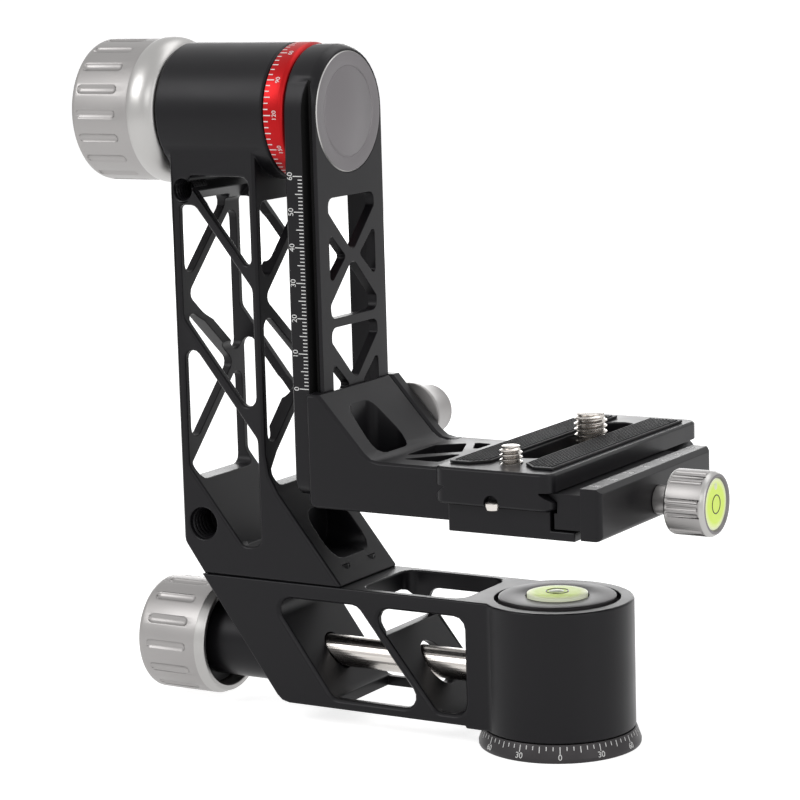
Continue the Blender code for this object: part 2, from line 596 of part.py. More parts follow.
def lower_arm():
    low = BASE_HEIGHT + TURN_GAP
    side = [(end_line(ARM_UNDERSIDE), ARM_UNDERSIDE, ARM_END_TOE_RADIUS),
            (-HOUSING_RADIUS, ARM_UNDERSIDE, 0), (-HOUSING_RADIUS, low, 0),
            (HOUSING_RADIUS + OVERRUN, low, 0), (HOUSING_RADIUS + OVERRUN, ARM_TOP, 0),
            (end_line(ARM_TOP), ARM_TOP, 0)]
    arm = slab("lower_arm", PARTS, "Y", side, -ARM_HALF_WIDTH - HOUSING_RADIUS,
               ARM_HALF_WIDTH + HOUSING_RADIUS)
    join = sqrt(HOUSING_RADIUS ** 2 - ARM_HALF_WIDTH ** 2)
    half = atan2(ARM_HALF_WIDTH, -join)
    steps = LARGE_SEGMENTS * 3 // 4
    arc = [(HOUSING_RADIUS * cos(half * (2 * k / steps - 1)),
            HOUSING_RADIUS * sin(half * (2 * k / steps - 1))) for k in range(steps + 1)]
    far = -ARM_END - OVERRUN
    plan = [(far, ARM_HALF_WIDTH), (far, -ARM_HALF_WIDTH)] + arc
    mesh_data = bmesh.new()
    skin(mesh_data, "Z", [(low - OVERRUN, plan), (ARM_TOP + OVERRUN, plan)])
    combine(arm, as_object("lower_arm_plan", mesh_data, CUTTERS), "INTERSECT")
    bevel = arm.modifiers.new("Edge chamfer", "BEVEL")
    bevel.width = EDGE_CHAMFER
    bevel.segments = 1
    bevel.limit_method = "ANGLE"
    bevel.angle_limit = radians(50)

    half_width = ARM_HALF_WIDTH
    inner = half_width - ARM_WALL
    far_window = slanted(WINDOW_BOTTOM, WINDOW_TOP,
                         lambda z: FAR_WINDOW_LEFT_TOP_X + (WINDOW_TOP - z) * ARM_END_SLOPE,
                         web_left, ARM_WINDOW_RADIUS)
    near_window = slanted(WINDOW_BOTTOM, WINDOW_TOP, web_right,
                          lambda z: NEAR_WINDOW_RIGHT_X, ARM_WINDOW_RADIUS)
    chamfer = ARM_WINDOW_CHAMFER
    cut(arm, window("far_window", "Y", far_window, -half_width, half_width, chamfer),
        window("near_window", "Y", near_window, -half_width, half_width, chamfer))
    pocket = rectangle(TOP_POCKET_LEFT_X, TOP_POCKET_RIGHT_X, -inner, inner, TOP_POCKET_RADIUS)
    cut(arm, window("top_pocket", "Z", pocket, WEB_TOP, ARM_TOP, FINE_CHAMFER))
    floor = low - OVERRUN
    shy = FINE_CHAMFER
    roof = WINDOW_TOP - ARM_WINDOW_RADIUS
    far_floor = [(FLOOR_OPENING_LEFT_X, floor, 0), (web_left(floor) - shy, floor, 0),
                 (web_left(roof) - shy, roof, 0), (FLOOR_OPENING_LEFT_X, roof, 0)]
    near_floor = [(web_right(floor) + shy, floor, 0), (TOP_POCKET_RIGHT_X - shy, floor, 0),
                  (TOP_POCKET_RIGHT_X - shy, roof, 0), (web_right(roof) + shy, roof, 0)]
    cut(arm, slab("far_floor", CUTTERS, "Y", far_floor, -inner, inner),
        slab("near_floor", CUTTERS, "Y", near_floor, -inner, inner))

    bore = SPINDLE_RADIUS + TURN_GAP
    ledge = SPINDLE_TOP
    hollow = RETAINER_RADIUS + TURN_GAP
    seat = ARM_TOP - CAP_SEAT_DEPTH
    cut(arm, turned("spindle_bore", CUTTERS, "Z",
                    [(floor, 0.0), (floor, bore), (ledge - TURN_GAP, bore),
                     (ledge - TURN_GAP, hollow), (seat, hollow), (seat, CAP_GROOVE_RADIUS),
                     (ARM_TOP + OVERRUN, CAP_GROOVE_RADIUS), (ARM_TOP + OVERRUN, 0.0)], (0, 0)))
    hole = ROD_RADIUS + ROD_HOLE_CLEARANCE
    wide = ROD_RADIUS + WEB_HOLE_CLEARANCE
    mouth = SLEEVE_RADIUS + SEAT_GAP
    start = -ARM_END - OVERRUN
    cut(arm, turned("rod_bore", CUTTERS, "X",
                    [(start, 0.0), (start, mouth), (SLEEVE_SEAT_X, mouth), (SLEEVE_SEAT_X, hole),
                     (FLOOR_OPENING_LEFT_X, hole), (FLOOR_OPENING_LEFT_X, wide),
                     (NEAR_WINDOW_RIGHT_X - OVERRUN, wide), (NEAR_WINDOW_RIGHT_X - OVERRUN, hole),
                     (-SPINDLE_RADIUS / 2, hole), (-SPINDLE_RADIUS / 2, 0.0)],
                    (0, PAN_LOCK_Z)))
    sink = WINDOW_TOP + BOLT_SINK
    shafts = []
    for x, y in bolt_places():
        profile = [(WINDOW_TOP - OVERRUN, 0.0), (WINDOW_TOP - OVERRUN, BOLT_HEAD_RADIUS + TURN_GAP),
                   (sink, BOLT_HEAD_RADIUS + TURN_GAP), (sink, BOLT_RADIUS + SEAT_GAP),
                   (ARM_TOP + OVERRUN, BOLT_RADIUS + SEAT_GAP), (ARM_TOP + OVERRUN, 0.0)]
        shafts.append(turned("bolt_hole", CUTTERS, "Z", profile, (x, y), TINY_SEGMENTS))
    cut(arm, merged("arm_bolt_holes", shafts))


def bolt_places():
    return [(x, y) for x in (BOLT_FAR_X, BOLT_NEAR_X) for y in (-BOLT_HALF_SPREAD, BOLT_HALF_SPREAD)]


def arm_fittings():
    low = ARM_TOP - CAP_SEAT_DEPTH + SEAT_GAP
    high = ARM_TOP + CAP_PROUD
    pocket = high - LEVEL_DEPTH
    turned("pan_cap", PARTS, "Z",
           [(low, 0.0), (low, CAP_RADIUS), (high - FINE_CHAMFER, CAP_RADIUS),
            (high, CAP_RADIUS - FINE_CHAMFER), (high, LEVEL_RADIUS + SEAT_GAP),
            (pocket, LEVEL_RADIUS + SEAT_GAP), (pocket, 0.0)], (0, 0))
    rod("pan_level", PARTS, "Z", LEVEL_RADIUS, pocket + SEAT_GAP, high + LEVEL_PROUD, (0, 0),
        LARGE_SEGMENTS, FINE_CHAMFER)
    inner = ROD_RADIUS + ROD_HOLE_CLEARANCE
    turned("pan_lock_sleeve", PARTS, "X",
           [(SLEEVE_END_X, inner), (SLEEVE_END_X, SLEEVE_RADIUS - EDGE_CHAMFER),
            (SLEEVE_END_X + EDGE_CHAMFER, SLEEVE_RADIUS), (SLEEVE_SEAT_X - SEAT_GAP, SLEEVE_RADIUS),
            (SLEEVE_SEAT_X - SEAT_GAP, inner)], (0, PAN_LOCK_Z), closed=True)
    shoe = rod("pan_brake_shoe", PARTS, "X", ROD_RADIUS, ROD_INNER_END_X + SEAT_GAP,
               -SPINDLE_RADIUS / 2 - OVERRUN, (0, PAN_LOCK_Z))
    cut(shoe, rod("shoe_hollow", CUTTERS, "Z", SPINDLE_RADIUS + SEAT_GAP,
                  PAN_LOCK_Z - SPINDLE_RADIUS, PAN_LOCK_Z + SPINDLE_RADIUS, (0, 0),
                  LARGE_SEGMENTS))
    sink = WINDOW_TOP + BOLT_SINK - SEAT_GAP
    for index, centre in enumerate(bolt_places()):
        bolt(f"arm_bolt_{index + 1}", "Z", BOLT_TIP_Z, sink, sink - BOLT_HEAD_HEIGHT,
             BOLT_RADIUS, BOLT_HEAD_RADIUS, centre)


def pan_lock():
    centre = (0, PAN_LOCK_Z)
    at = (PAN_KNOB_OUTER_X, 0, PAN_LOCK_Z)
    grip = PAN_KNOB_OUTER_X + ROD_KNOB_GRIP
    knob = turned("pan_knob", PARTS, "X",
                  [(PAN_KNOB_OUTER_X, 0.0), (PAN_KNOB_OUTER_X, PAN_KNOB_RADIUS - OVERRUN),
                   (PAN_KNOB_OUTER_X + OVERRUN, PAN_KNOB_RADIUS),
                   (PAN_KNOB_BEVEL_X, PAN_KNOB_RADIUS), (PAN_KNOB_LIP_X, PAN_KNOB_LIP_RADIUS),
                   (PAN_KNOB_LIP_X, PAN_KNOB_BORE_RADIUS), (PAN_KNOB_CUP_X, PAN_KNOB_BORE_RADIUS),
                   (PAN_KNOB_CUP_X, ROD_RADIUS + SEAT_GAP), (grip, ROD_RADIUS + SEAT_GAP),
                   (grip, 0.0)], centre, at=at)
    grooved("pan_knob_grooves", knob, PAN_KNOB_GROOVES, PAN_KNOB_RADIUS,
            PAN_KNOB_GROOVE_OUTER_X, PAN_KNOB_GROOVE_INNER_X, centre)
    low = PAN_KNOB_CUP_X + SEAT_GAP
    turned("pan_knob_hub", PARTS, "X",
           [(low, ROD_RADIUS + SEAT_GAP), (low, PAN_KNOB_BORE_RADIUS - SEAT_GAP),
            (low + PAN_HUB_THICKNESS, PAN_KNOB_BORE_RADIUS - SEAT_GAP),
            (low + PAN_HUB_THICKNESS, ROD_RADIUS + SEAT_GAP)], centre, at=at, closed=True)
    rod("pan_lock_rod", PARTS, "X", ROD_RADIUS, grip + SEAT_GAP, ROD_INNER_END_X, centre,
        LARGE_SEGMENTS, FINE_CHAMFER, at)


def column_line(foot):
    return lambda x: foot - (x - COLUMN_WINDOW_LEFT_X) / COLUMN_WINDOW_SLOPE


def vertical_arm():
    low = ARM_TOP + SEAT_GAP
    bend = low + COLUMN_TOE_HEIGHT
    flare_z = bend + (COLUMN_TOE_X - COLUMN_RIGHT_X) / COLUMN_FLARE_SLOPE
    outline = [(COLUMN_FOOT_LEFT_X, low, 0), (COLUMN_TOE_X, low, 0), (COLUMN_TOE_X, bend, 0),
               (COLUMN_RIGHT_X, flare_z, COLUMN_FLARE_RADIUS), (COLUMN_RIGHT_X, TILT_Z, 0),
               (COLUMN_LEFT_X, TILT_Z, 0), (COLUMN_LEFT_X, COLUMN_FOOT_BEND_Z, ARM_WINDOW_RADIUS)]
    column = slab("vertical_arm", PARTS, "Y", outline, -ARM_HALF_WIDTH, ARM_HALF_WIDTH,
                  EDGE_CHAMFER)
    barrel = rod("tilt_barrel", CUTTERS, "X", TILT_HOUSING_RADIUS, TILT_HOUSING_OUTER_X,
                 TILT_HOUSING_INNER_X, (0, TILT_Z), LARGE_SEGMENTS, EDGE_CHAMFER)
    combine(column, barrel, "UNION")
    hollow_left = COLUMN_LEFT_X + COLUMN_FACE_WALL
    hollow_right = COLUMN_RIGHT_X - COLUMN_FACE_WALL
    low_foot = COLUMN_HIGH_FOOT_Z - 2 * COLUMN_WINDOW_PITCH
    floor = column_line(low_foot)
    roof_bend = COLUMN_HOLLOW_TOP_Z - COLUMN_MIDDLE_TOP_Z
    knee_x = COLUMN_WINDOW_LEFT_X + COLUMN_WINDOW_SLOPE * (low_foot - COLUMN_LOW_POCKET_Z)
    hollow = [(hollow_left, floor(hollow_left), 0), (knee_x, COLUMN_LOW_POCKET_Z, 0),
              (hollow_right, COLUMN_LOW_POCKET_Z, 0), (hollow_right, COLUMN_HOLLOW_TOP_Z, 0),
              (hollow_left + roof_bend, COLUMN_HOLLOW_TOP_Z, 0),
              (hollow_left, COLUMN_MIDDLE_TOP_Z, 0)]
    inner = ARM_HALF_WIDTH - COLUMN_SIDE_WALL
    cut(column, slab("column_hollow", CUTTERS, "Y", hollow, -inner, inner))
    cutters = []
    for corners in column_windows():
        cutters.append(window("column_window", "Y", corners, -ARM_HALF_WIDTH, ARM_HALF_WIDTH,
                              COLUMN_WINDOW_CHAMFER))
    cut(column, merged("column_windows", cutters))
    cutters = []
    for corners in face_windows():
        cutters.append(slab("face_window", CUTTERS, "X", corners, COLUMN_LEFT_X - OVERRUN,
                            COLUMN_RIGHT_X + ARM_HALF_WIDTH))
    cut(column, merged("column_face_windows", cutters))
    pocket = rectangle(-FLARE_POCKET_HALF_WIDTH, FLARE_POCKET_HALF_WIDTH, FLARE_POCKET_LOW_Z,
                       FLARE_POCKET_HIGH_Z, FLARE_POCKET_RADIUS)
    cut(column, slab("flare_pocket", CUTTERS, "X", pocket, FLARE_POCKET_BACK_X, COLUMN_TOE_X))
    front = -ARM_HALF_WIDTH
    threads = []
    for x, z, radius, depth in ((SMALL_THREAD_X, SMALL_THREAD_Z, SMALL_THREAD_RADIUS,
                                 SMALL_THREAD_DEPTH),
                                (LARGE_THREAD_X, LARGE_THREAD_Z, LARGE_THREAD_RADIUS,
                                 LARGE_THREAD_DEPTH)):
        profile = [(front - OVERRUN, 0.0), (front - OVERRUN, radius + THREAD_RIM + OVERRUN),
                   (front + THREAD_RIM, radius), (front + depth, radius), (front + depth, 0.0)]
        threads.append(turned("thread_hole", CUTTERS, "Y", profile, (x, z), SMALL_SEGMENTS))
    cut(column, merged("accessory_threads", threads))
    end = TILT_HOUSING_INNER_X + OVERRUN
    outer = TILT_HOUSING_OUTER_X - OVERRUN
    cut(column, rod("tilt_bore", CUTTERS, "X", TILT_SHAFT_RADIUS + TURN_GAP, outer, end,
                    (0, TILT_Z), LARGE_SEGMENTS))
    tips = [rod("bolt_tap", CUTTERS, "Z", BOLT_RADIUS + SEAT_GAP, ARM_TOP - OVERRUN,
                BOLT_TIP_Z + TURN_GAP, centre, TINY_SEGMENTS) for centre in bolt_places()]
    cut(column, merged("column_bolt_taps", tips))


def column_windows():
    """Outlines of the three slanted openings in each side of the column, from the top down."""
    radius = COLUMN_WINDOW_RADIUS
    left, right = COLUMN_WINDOW_LEFT_X, COLUMN_WINDOW_RIGHT_X
    high = column_line(COLUMN_HIGH_FOOT_Z)
    high_x = left + (COLUMN_HIGH_FOOT_Z - COLUMN_HIGH_TOP_Z) * COLUMN_WINDOW_SLOPE
    yield [(high_x, COLUMN_HIGH_TOP_Z, radius / 2), (right, high(right), radius / 2),
           (right, COLUMN_HIGH_TOP_Z, radius)]
    top = column_line(COLUMN_HIGH_FOOT_Z - COLUMN_STRUT_HEIGHT)
    foot = column_line(COLUMN_HIGH_FOOT_Z - COLUMN_WINDOW_PITCH)
    level_x = left + (top(left) - COLUMN_MIDDLE_TOP_Z) * COLUMN_WINDOW_SLOPE
    yield [(left, foot(left), radius), (right, foot(right), radius), (right, top(right), radius),
           (level_x, COLUMN_MIDDLE_TOP_Z, radius), (left, COLUMN_MIDDLE_TOP_Z, radius / 2)]
    top = column_line(COLUMN_HIGH_FOOT_Z - COLUMN_WINDOW_PITCH - COLUMN_STRUT_HEIGHT)
    foot = column_line(COLUMN_HIGH_FOOT_Z - 2 * COLUMN_WINDOW_PITCH)
    knee_x = left + (foot(left) - COLUMN_LOW_POCKET_Z) * COLUMN_WINDOW_SLOPE
    yield [(left, foot(left), radius), (knee_x, COLUMN_LOW_POCKET_Z, radius),
           (right, COLUMN_LOW_POCKET_Z, radius), (right, top(right), radius),
           (left, top(left), radius)]


def face_windows():
    """Triangles between the rails of the column's two narrow faces, from the top down."""
    radius = FACE_WINDOW_RADIUS
    rail = ARM_HALF_WIDTH - FACE_RAIL
    rise, fall = FACE_RISE_HEIGHT / (2 * rail), FACE_FALL_HEIGHT / (2 * rail)
    first = FACE_FIRST_CORNER_Z
    top_y = -rail + (FACE_TOP_Z - first) / rise
    yield [(-rail, first, radius), (top_y, FACE_TOP_Z, radius), (-rail, FACE_TOP_Z, radius)]
    apex_y = -rail + FACE_RAIL / 2
    apex_z = first - FACE_STRUT_HEIGHT + (apex_y + rail) * rise
    yield [(apex_y, apex_z, radius), (rail, apex_z - (rail - apex_y) * fall, radius),
           (rail, apex_z + (rail - apex_y) * rise, radius)]
    high = apex_z + (apex_y + rail) * fall - FACE_STRUT_HEIGHT
    low = FACE_BOTTOM_Z + FACE_STRUT_HEIGHT + FACE_RAIL * 2
    reach = (high - low) / (rise + fall)
    yield [(-rail, low, radius), (-rail + reach, low + reach * rise, radius), (-rail, high, radius)]
    lower = low - FACE_STRUT_HEIGHT
    yield [(-rail, FACE_BOTTOM_Z, radius), (rail, FACE_BOTTOM_Z, radius),
           (rail, lower + 2 * rail * rise, radius), (-rail, lower, radius / 4)]


def tilt_lock():
    centre = (0, TILT_Z)
    at = (TILT_KNOB_OUTER_X, 0, TILT_Z)
    end = TILT_HOUSING_OUTER_X - TURN_GAP
    grip = TILT_KNOB_OUTER_X + TILT_STUD_GRIP
    hole = TILT_STUD_RADIUS + SEAT_GAP
    knob = turned("tilt_knob", PARTS, "X",
                  [(TILT_KNOB_OUTER_X, 0.0), (TILT_KNOB_OUTER_X, TILT_KNOB_END_RADIUS),
                   (TILT_KNOB_GROOVE_OUTER_X, TILT_KNOB_RADIUS),
                   (TILT_KNOB_BEVEL_OUTER_X, TILT_KNOB_RADIUS),
                   (TILT_KNOB_BEVEL_INNER_X, TILT_KNOB_SHOULDER_RADIUS)]
                  + nose_curve(TILT_KNOB_BEVEL_INNER_X, TILT_KNOB_SHOULDER_RADIUS, end,
                               TILT_KNOB_NOSE_RADIUS)
                  + [(end, hole), (grip, hole), (grip, 0.0)], centre, at=at)
    grooved("tilt_knob_grooves", knob, TILT_KNOB_GROOVES, TILT_KNOB_RADIUS,
            TILT_KNOB_GROOVE_OUTER_X, TILT_KNOB_GROOVE_INNER_X, centre)
    rod("tilt_stud", PARTS, "X", TILT_STUD_RADIUS, grip + SEAT_GAP, TILT_STUD_INNER_X, centre,
        SMALL_SEGMENTS, FINE_CHAMFER, at)


def nose_curve(start, start_radius, end, end_radius):
    """A quarter ellipse from a shoulder in to a smaller radius."""
    steps = 4
    return [(start + (end - start) * sin(pi / 2 * k / steps),
             end_radius + (start_radius - end_radius) * cos(pi / 2 * k / steps))
            for k in range(1, steps + 1)]


def swing_parts():
    centre = (0, TILT_Z)
    at = (SWING_BACK_X, 0, TILT_Z)
    inner = SWING_BACK_X - SEAT_GAP
    hole = TILT_STUD_RADIUS + TURN_GAP
    deep = TILT_STUD_INNER_X + OVERRUN
    shaft = turned("tilt_shaft", PARTS, "X",
                   [(deep, 0.0), (deep, hole), (TILT_SHAFT_OUTER_X, hole),
                    (TILT_SHAFT_OUTER_X, TILT_SHAFT_RADIUS), (inner, TILT_SHAFT_RADIUS),
                    (inner, 0.0)], centre, at=at)
    taps = [rod("screw_tap", CUTTERS, "X", SWING_SCREW_RADIUS + SEAT_GAP,
                SWING_SCREW_TIP_X - TURN_GAP, SWING_BACK_X + OVERRUN, place_yz, TINY_SEGMENTS)
            for place_yz in swing_screw_places()]
    cut(shaft, merged("shaft_taps", taps))
    bore = TILT_SHAFT_RADIUS + SEAT_GAP
    turned("scale_ring", PARTS, "X",
           [(SCALE_RING_OUTER_X, bore), (SCALE_RING_OUTER_X, SCALE_RING_RADIUS),
            (SCALE_RING_BEVEL_X, SCALE_RING_RADIUS), (inner, SCALE_RING_CHAMFER_RADIUS),
            (inner, bore)], centre, at=at, closed=True)
    swing_arm(at)
    low = SWING_FACE_X + SWING_CAP_PROUD - SWING_CAP_THICKNESS
    high = SWING_FACE_X + SWING_CAP_PROUD
    ring, width = SWING_CAP_RING_RADIUS, SWING_CAP_RING_WIDTH
    groove = high - SWING_CAP_RING_DEPTH
    turned("swing_cap", PARTS, "X",
           [(low, 0.0), (low, SWING_CAP_RADIUS), (groove, SWING_CAP_RADIUS),
            (high, SWING_CAP_RADIUS - SWING_CAP_RING_DEPTH), (high, ring + width),
            (groove, ring + width), (groove, ring), (high, ring), (high, 0.0)], centre, at=at)
    neck = low - SEAT_GAP - SWING_SCREW_HEAD_HEIGHT - TURN_GAP
    for index, place_yz in enumerate(swing_screw_places()):
        bolt(f"swing_screw_{index + 1}", "X", SWING_SCREW_TIP_X, neck,
             neck + SWING_SCREW_HEAD_HEIGHT, SWING_SCREW_RADIUS, SWING_SCREW_HEAD_RADIUS,
             place_yz)


def swing_screw_places():
    return [(SWING_SCREW_CIRCLE_RADIUS * cos(2 * pi * (k + 0.5) / SWING_SCREWS),
             TILT_Z + SWING_SCREW_CIRCLE_RADIUS * sin(2 * pi * (k + 0.5) / SWING_SCREWS))
            for k in range(SWING_SCREWS)]


def tongue(half_width):
    """The swing arm's outline: a strap with a half-round top on the tilt axis."""
    steps = LARGE_SEGMENTS // 2
    arc = [(half_width * cos(pi * k / steps), TILT_Z + half_width * sin(pi * k / steps))
           for k in range(steps + 1)]
    corner = SWING_BOTTOM_RADIUS
    turns = 4
    left = [(-half_width + corner - corner * cos(pi / 2 * k / turns),
             SWING_BOTTOM_Z + corner - corner * sin(pi / 2 * k / turns)) for k in range(turns + 1)]
    right = [(-u, v) for u, v in reversed(left)]
    return arc + left + right


def groove_outline(clearance=0.0):
    """The dovetail groove's section on the +Y side, as (x, y) points, or what fills it."""
    return [(SWING_SHOULDER_X + clearance, SWING_HALF_WIDTH + OVERRUN, 0),
            (SWING_SHOULDER_X + clearance, SWING_HALF_WIDTH, 0),
            (SWING_GROOVE_DEEP_X + clearance / 2, SWING_GROOVE_HALF_WIDTH + clearance, 0),
            (SWING_GROOVE_FRONT_X, SWING_GROOVE_HALF_WIDTH + clearance, 0),
            (SWING_LIP_X, SWING_LIP_HALF_WIDTH + clearance, 0),
            (SWING_LIP_X, SWING_HALF_WIDTH + OVERRUN, 0)]


def swing_arm(at):
    chamfer = EDGE_CHAMFER
    full, lip = SWING_HALF_WIDTH, SWING_LIP_HALF_WIDTH
    mesh_data = bmesh.new()
    skin(mesh_data, "X", [(SWING_BACK_X, tongue(full - chamfer)),
                          (SWING_BACK_X + chamfer, tongue(full)), (SWING_SHOULDER_X, tongue(full)),
                          (SWING_GROOVE_DEEP_X, tongue(full)), (SWING_LIP_X, tongue(lip)),
                          (SWING_FACE_X, tongue(SWING_FACE_HALF_WIDTH))])
    arm = as_object("swing_arm", mesh_data, PARTS, at)
    top = TILT_Z + 2 * SWING_HALF_WIDTH
    section = groove_outline()
    right = slab("groove_right", CUTTERS, "Z", section, SWING_BOTTOM_Z - OVERRUN, top)
    left = slab("groove_left", CUTTERS, "Z",
                [(x, -y, r) for x, y, r in reversed(section)], SWING_BOTTOM_Z - OVERRUN, top)
    cut(arm, merged("dovetail_grooves", [right, left]))
    half = SWING_CHANNEL_HALF_WIDTH
    channel = rectangle(-half, half, SWING_BOTTOM_Z + SWING_BOTTOM_RADIUS, SWING_CHANNEL_TOP_Z,
                        SWING_CHANNEL_RADIUS)
    cut(arm, slab("swing_channel", CUTTERS, "X", channel, SWING_BACK_X - OVERRUN,
                  SWING_FACE_X - SWING_FACE_THICKNESS))
    cutters = []
    for corners in cell_windows():
        cutters.append(slab("cell_window", CUTTERS, "X", corners,
                            SWING_FACE_X - SWING_FACE_THICKNESS - OVERRUN, SWING_FACE_X + OVERRUN))
    cut(arm, merged("swing_windows", cutters))
    seat = SWING_FACE_X + SWING_CAP_PROUD - SWING_CAP_THICKNESS - SEAT_GAP
    recess = SWING_CAP_RADIUS + SEAT_GAP
    cut(arm, rod("cap_recess", CUTTERS, "X", recess, seat, SWING_FACE_X + OVERRUN,
                 (0, TILT_Z), LARGE_SEGMENTS))
    neck = seat - SWING_SCREW_HEAD_HEIGHT - TURN_GAP
    head = SWING_SCREW_HEAD_RADIUS + TURN_GAP
    shank = SWING_SCREW_RADIUS + SEAT_GAP
    back = SWING_BACK_X - OVERRUN
    holes = [turned("screw_hole", CUTTERS, "X",
                    [(back, 0.0), (back, shank), (neck - SEAT_GAP, shank), (neck - SEAT_GAP, head),
                     (seat + OVERRUN / 2, head), (seat + OVERRUN / 2, 0.0)], place_yz,
                    TINY_SEGMENTS)
             for place_yz in swing_screw_places()]
    cut(arm, merged("swing_screw_holes", holes))


def cell_windows():
    """The openings of two crossed-strut cells in the swing arm's face."""
    radius = CELL_RADIUS
    wide, tall = CELL_HALF_WIDTH, CELL_HALF_HEIGHT
    for cell in range(2):
        middle = CELL_TOP_CENTRE_Z - cell * CELL_PITCH
        yield [(0.0, middle + CELL_NOTCH, radius), (wide, middle + CELL_SHOULDER, radius / 2),
               (wide, middle + tall, radius), (-wide, middle + tall, radius),
               (-wide, middle + CELL_SHOULDER, radius / 2)]
        yield [(-wide, middle - tall, radius), (wide, middle - tall, radius),
               (wide, middle - CELL_SHOULDER, radius / 2), (0.0, middle - CELL_NOTCH, radius),
               (-wide, middle - CELL_SHOULDER, radius / 2)]
        side = [(wide, middle + CELL_SIDE_HALF_HEIGHT, radius / 2),
                (CELL_SIDE_APEX, middle, radius / 2),
                (wide, middle - CELL_SIDE_HALF_HEIGHT, radius / 2)]
        yield side
        yield mirrored(side)


def bracket_side():
    """The bracket's side view, from the rail at the back to the clamp's left face."""
    edge_z = BRACKET_TOP_Z
    foot_x = BRACKET_TOP_EDGE_X + (edge_z - PLATFORM_TOP_Z) * BRACKET_SLOPE
    wall = -PLATE_HALF_WIDTH - SLIDE_GAP
    end = CLAMP_LEFT_X - SEAT_GAP
    return [(BRACKET_BACK_X, BRACKET_BOTTOM_Z, BRACKET_TOE_RADIUS), (end, BRACKET_BOTTOM_Z, 0),
            (end, CLAMP_TOP_Z, 0), (wall, CLAMP_TOP_Z, 0),
            (wall, PLATFORM_TOP_Z, 0), (foot_x, PLATFORM_TOP_Z, PLATFORM_FILLET_RADIUS),
            (BRACKET_TOP_EDGE_X, edge_z, 0), (BRACKET_BACK_X, edge_z, 0)]


def hook_side():
    """One flank of the bracket's grip on the rail, from the back to the rail's face."""
    gap = SLIDE_GAP
    deep = SWING_GROOVE_HALF_WIDTH + gap
    lip = SWING_LIP_HALF_WIDTH + gap
    lean = (SWING_HALF_WIDTH - SWING_GROOVE_HALF_WIDTH) / (SWING_GROOVE_DEEP_X - SWING_SHOULDER_X)
    turn_x = SWING_GROOVE_DEEP_X + gap
    back = BRACKET_BACK_X - OVERRUN
    return [(back, deep + (turn_x - back) * lean, 0), (turn_x, deep, 0),
            (SWING_GROOVE_FRONT_X - gap / 2, deep, 0), (SWING_LIP_X - gap / 2, lip, 0),
            (SWING_FACE_X + gap, lip, 0)]


def rail_channel():
    """What the swing arm's dovetail takes out of the bracket, as (x, y) points."""
    side = hook_side()
    return [(x, -y, 0) for x, y, _ in side] + list(reversed(side))


def bracket():
    half = BRACKET_HALF_WIDTH
    body = slab("bracket", PARTS, "Y", bracket_side(), -half, half, EDGE_CHAMFER)
    wall = -PLATE_HALF_WIDTH - SLIDE_GAP
    tip = -PLATE_NOTCH_HALF_WIDTH - SLIDE_GAP - DOVETAIL_TIP_LAND
    top = PLATE_LEDGE_Z - SLIDE_GAP
    root = PLATE_FLARE_Z + SLIDE_GAP
    lip = [(wall - OVERRUN, root, 0), (wall, root, 0), (tip, top - DOVETAIL_TIP_LAND, 0),
           (tip, top, 0), (wall - OVERRUN, top, 0)]
    combine(body, slab("fixed_lip", CUTTERS, "Y", lip, EDGE_CHAMFER - half, half - EDGE_CHAMFER),
            "UNION")
    low, high = BRACKET_BOTTOM_Z - OVERRUN, BRACKET_TOP_Z + OVERRUN
    cut(body, slab("rail_channel", CUTTERS, "Z", rail_channel(), low, high))
    notch = [(BRACKET_BACK_X - OVERRUN, BRACKET_SLIT_LOW_Y, 0),
             (BRACKET_SLIT_END_X - BRACKET_TOE_RADIUS, BRACKET_SLIT_LOW_Y, 0),
             (BRACKET_SLIT_END_X, BRACKET_SLIT_HIGH_Y, 0),
             (BRACKET_SLIT_END_X, half + OVERRUN, 0), (BRACKET_BACK_X - OVERRUN, half + OVERRUN, 0)]
    cut(body, slab("jaw_notch", CUTTERS, "Z", notch, low, high))
    gusset = even([(GUSSET_BACK_X, GUSSET_BACK_HIGH_Y), (GUSSET_BACK_X, GUSSET_BACK_LOW_Y),
                   (GUSSET_FRONT_X, GUSSET_FRONT_LOW_Y), (GUSSET_FRONT_X, GUSSET_FRONT_HIGH_Y)],
                  GUSSET_RADIUS)
    cutters = [slab("gusset", CUTTERS, "Z", gusset, GUSSET_FLOOR_Z, high)]
    for corners in platform_pockets():
        cutters.append(slab("pocket", CUTTERS, "Z", corners, PLATFORM_POCKET_FLOOR_Z,
                            PLATFORM_TOP_Z + OVERRUN))
    cut(body, merged("platform_pockets", cutters))
    hole = BRACKET_STUD_RADIUS + TURN_GAP
    cut(body, rod("jaw_stud_tap", CUTTERS, "Y", hole, BRACKET_STUD_TIP_Y - TURN_GAP,
                  half + OVERRUN, (BRACKET_KNOB_X, BRACKET_KNOB_Z)))
    taps = [rod("clamp_tap", CUTTERS, "X", CLAMP_SCREW_RADIUS + SEAT_GAP,
                CLAMP_SCREW_TIP_X - TURN_GAP, CLAMP_LEFT_X + OVERRUN, (y, CLAMP_SCREW_Z),
                TINY_SEGMENTS)
            for y in (-CLAMP_SCREW_SPREAD, CLAMP_SCREW_SPREAD)]
    cut(body, merged("bracket_clamp_taps", taps))


def platform_pockets():
    """Three triangular pockets in the platform with slanted ribs between them."""
    left, right = PLATFORM_POCKET_LEFT_X, PLATFORM_POCKET_RIGHT_X
    wide, rib = PLATFORM_POCKET_HALF_WIDTH, PLATFORM_RIB
    radius = PLATFORM_POCKET_RADIUS
    middle = (left + right) / 2
    yield even([(left, -wide + 3 * rib), (right - rib, rib / 2), (middle, wide - rib), (left, wide / 2)],
               radius)
    yield even([(left + rib, -wide), (right, -wide), (right, -rib)], radius)
    yield even([(right, 2 * rib), (right, wide), (middle + rib, wide)], radius)


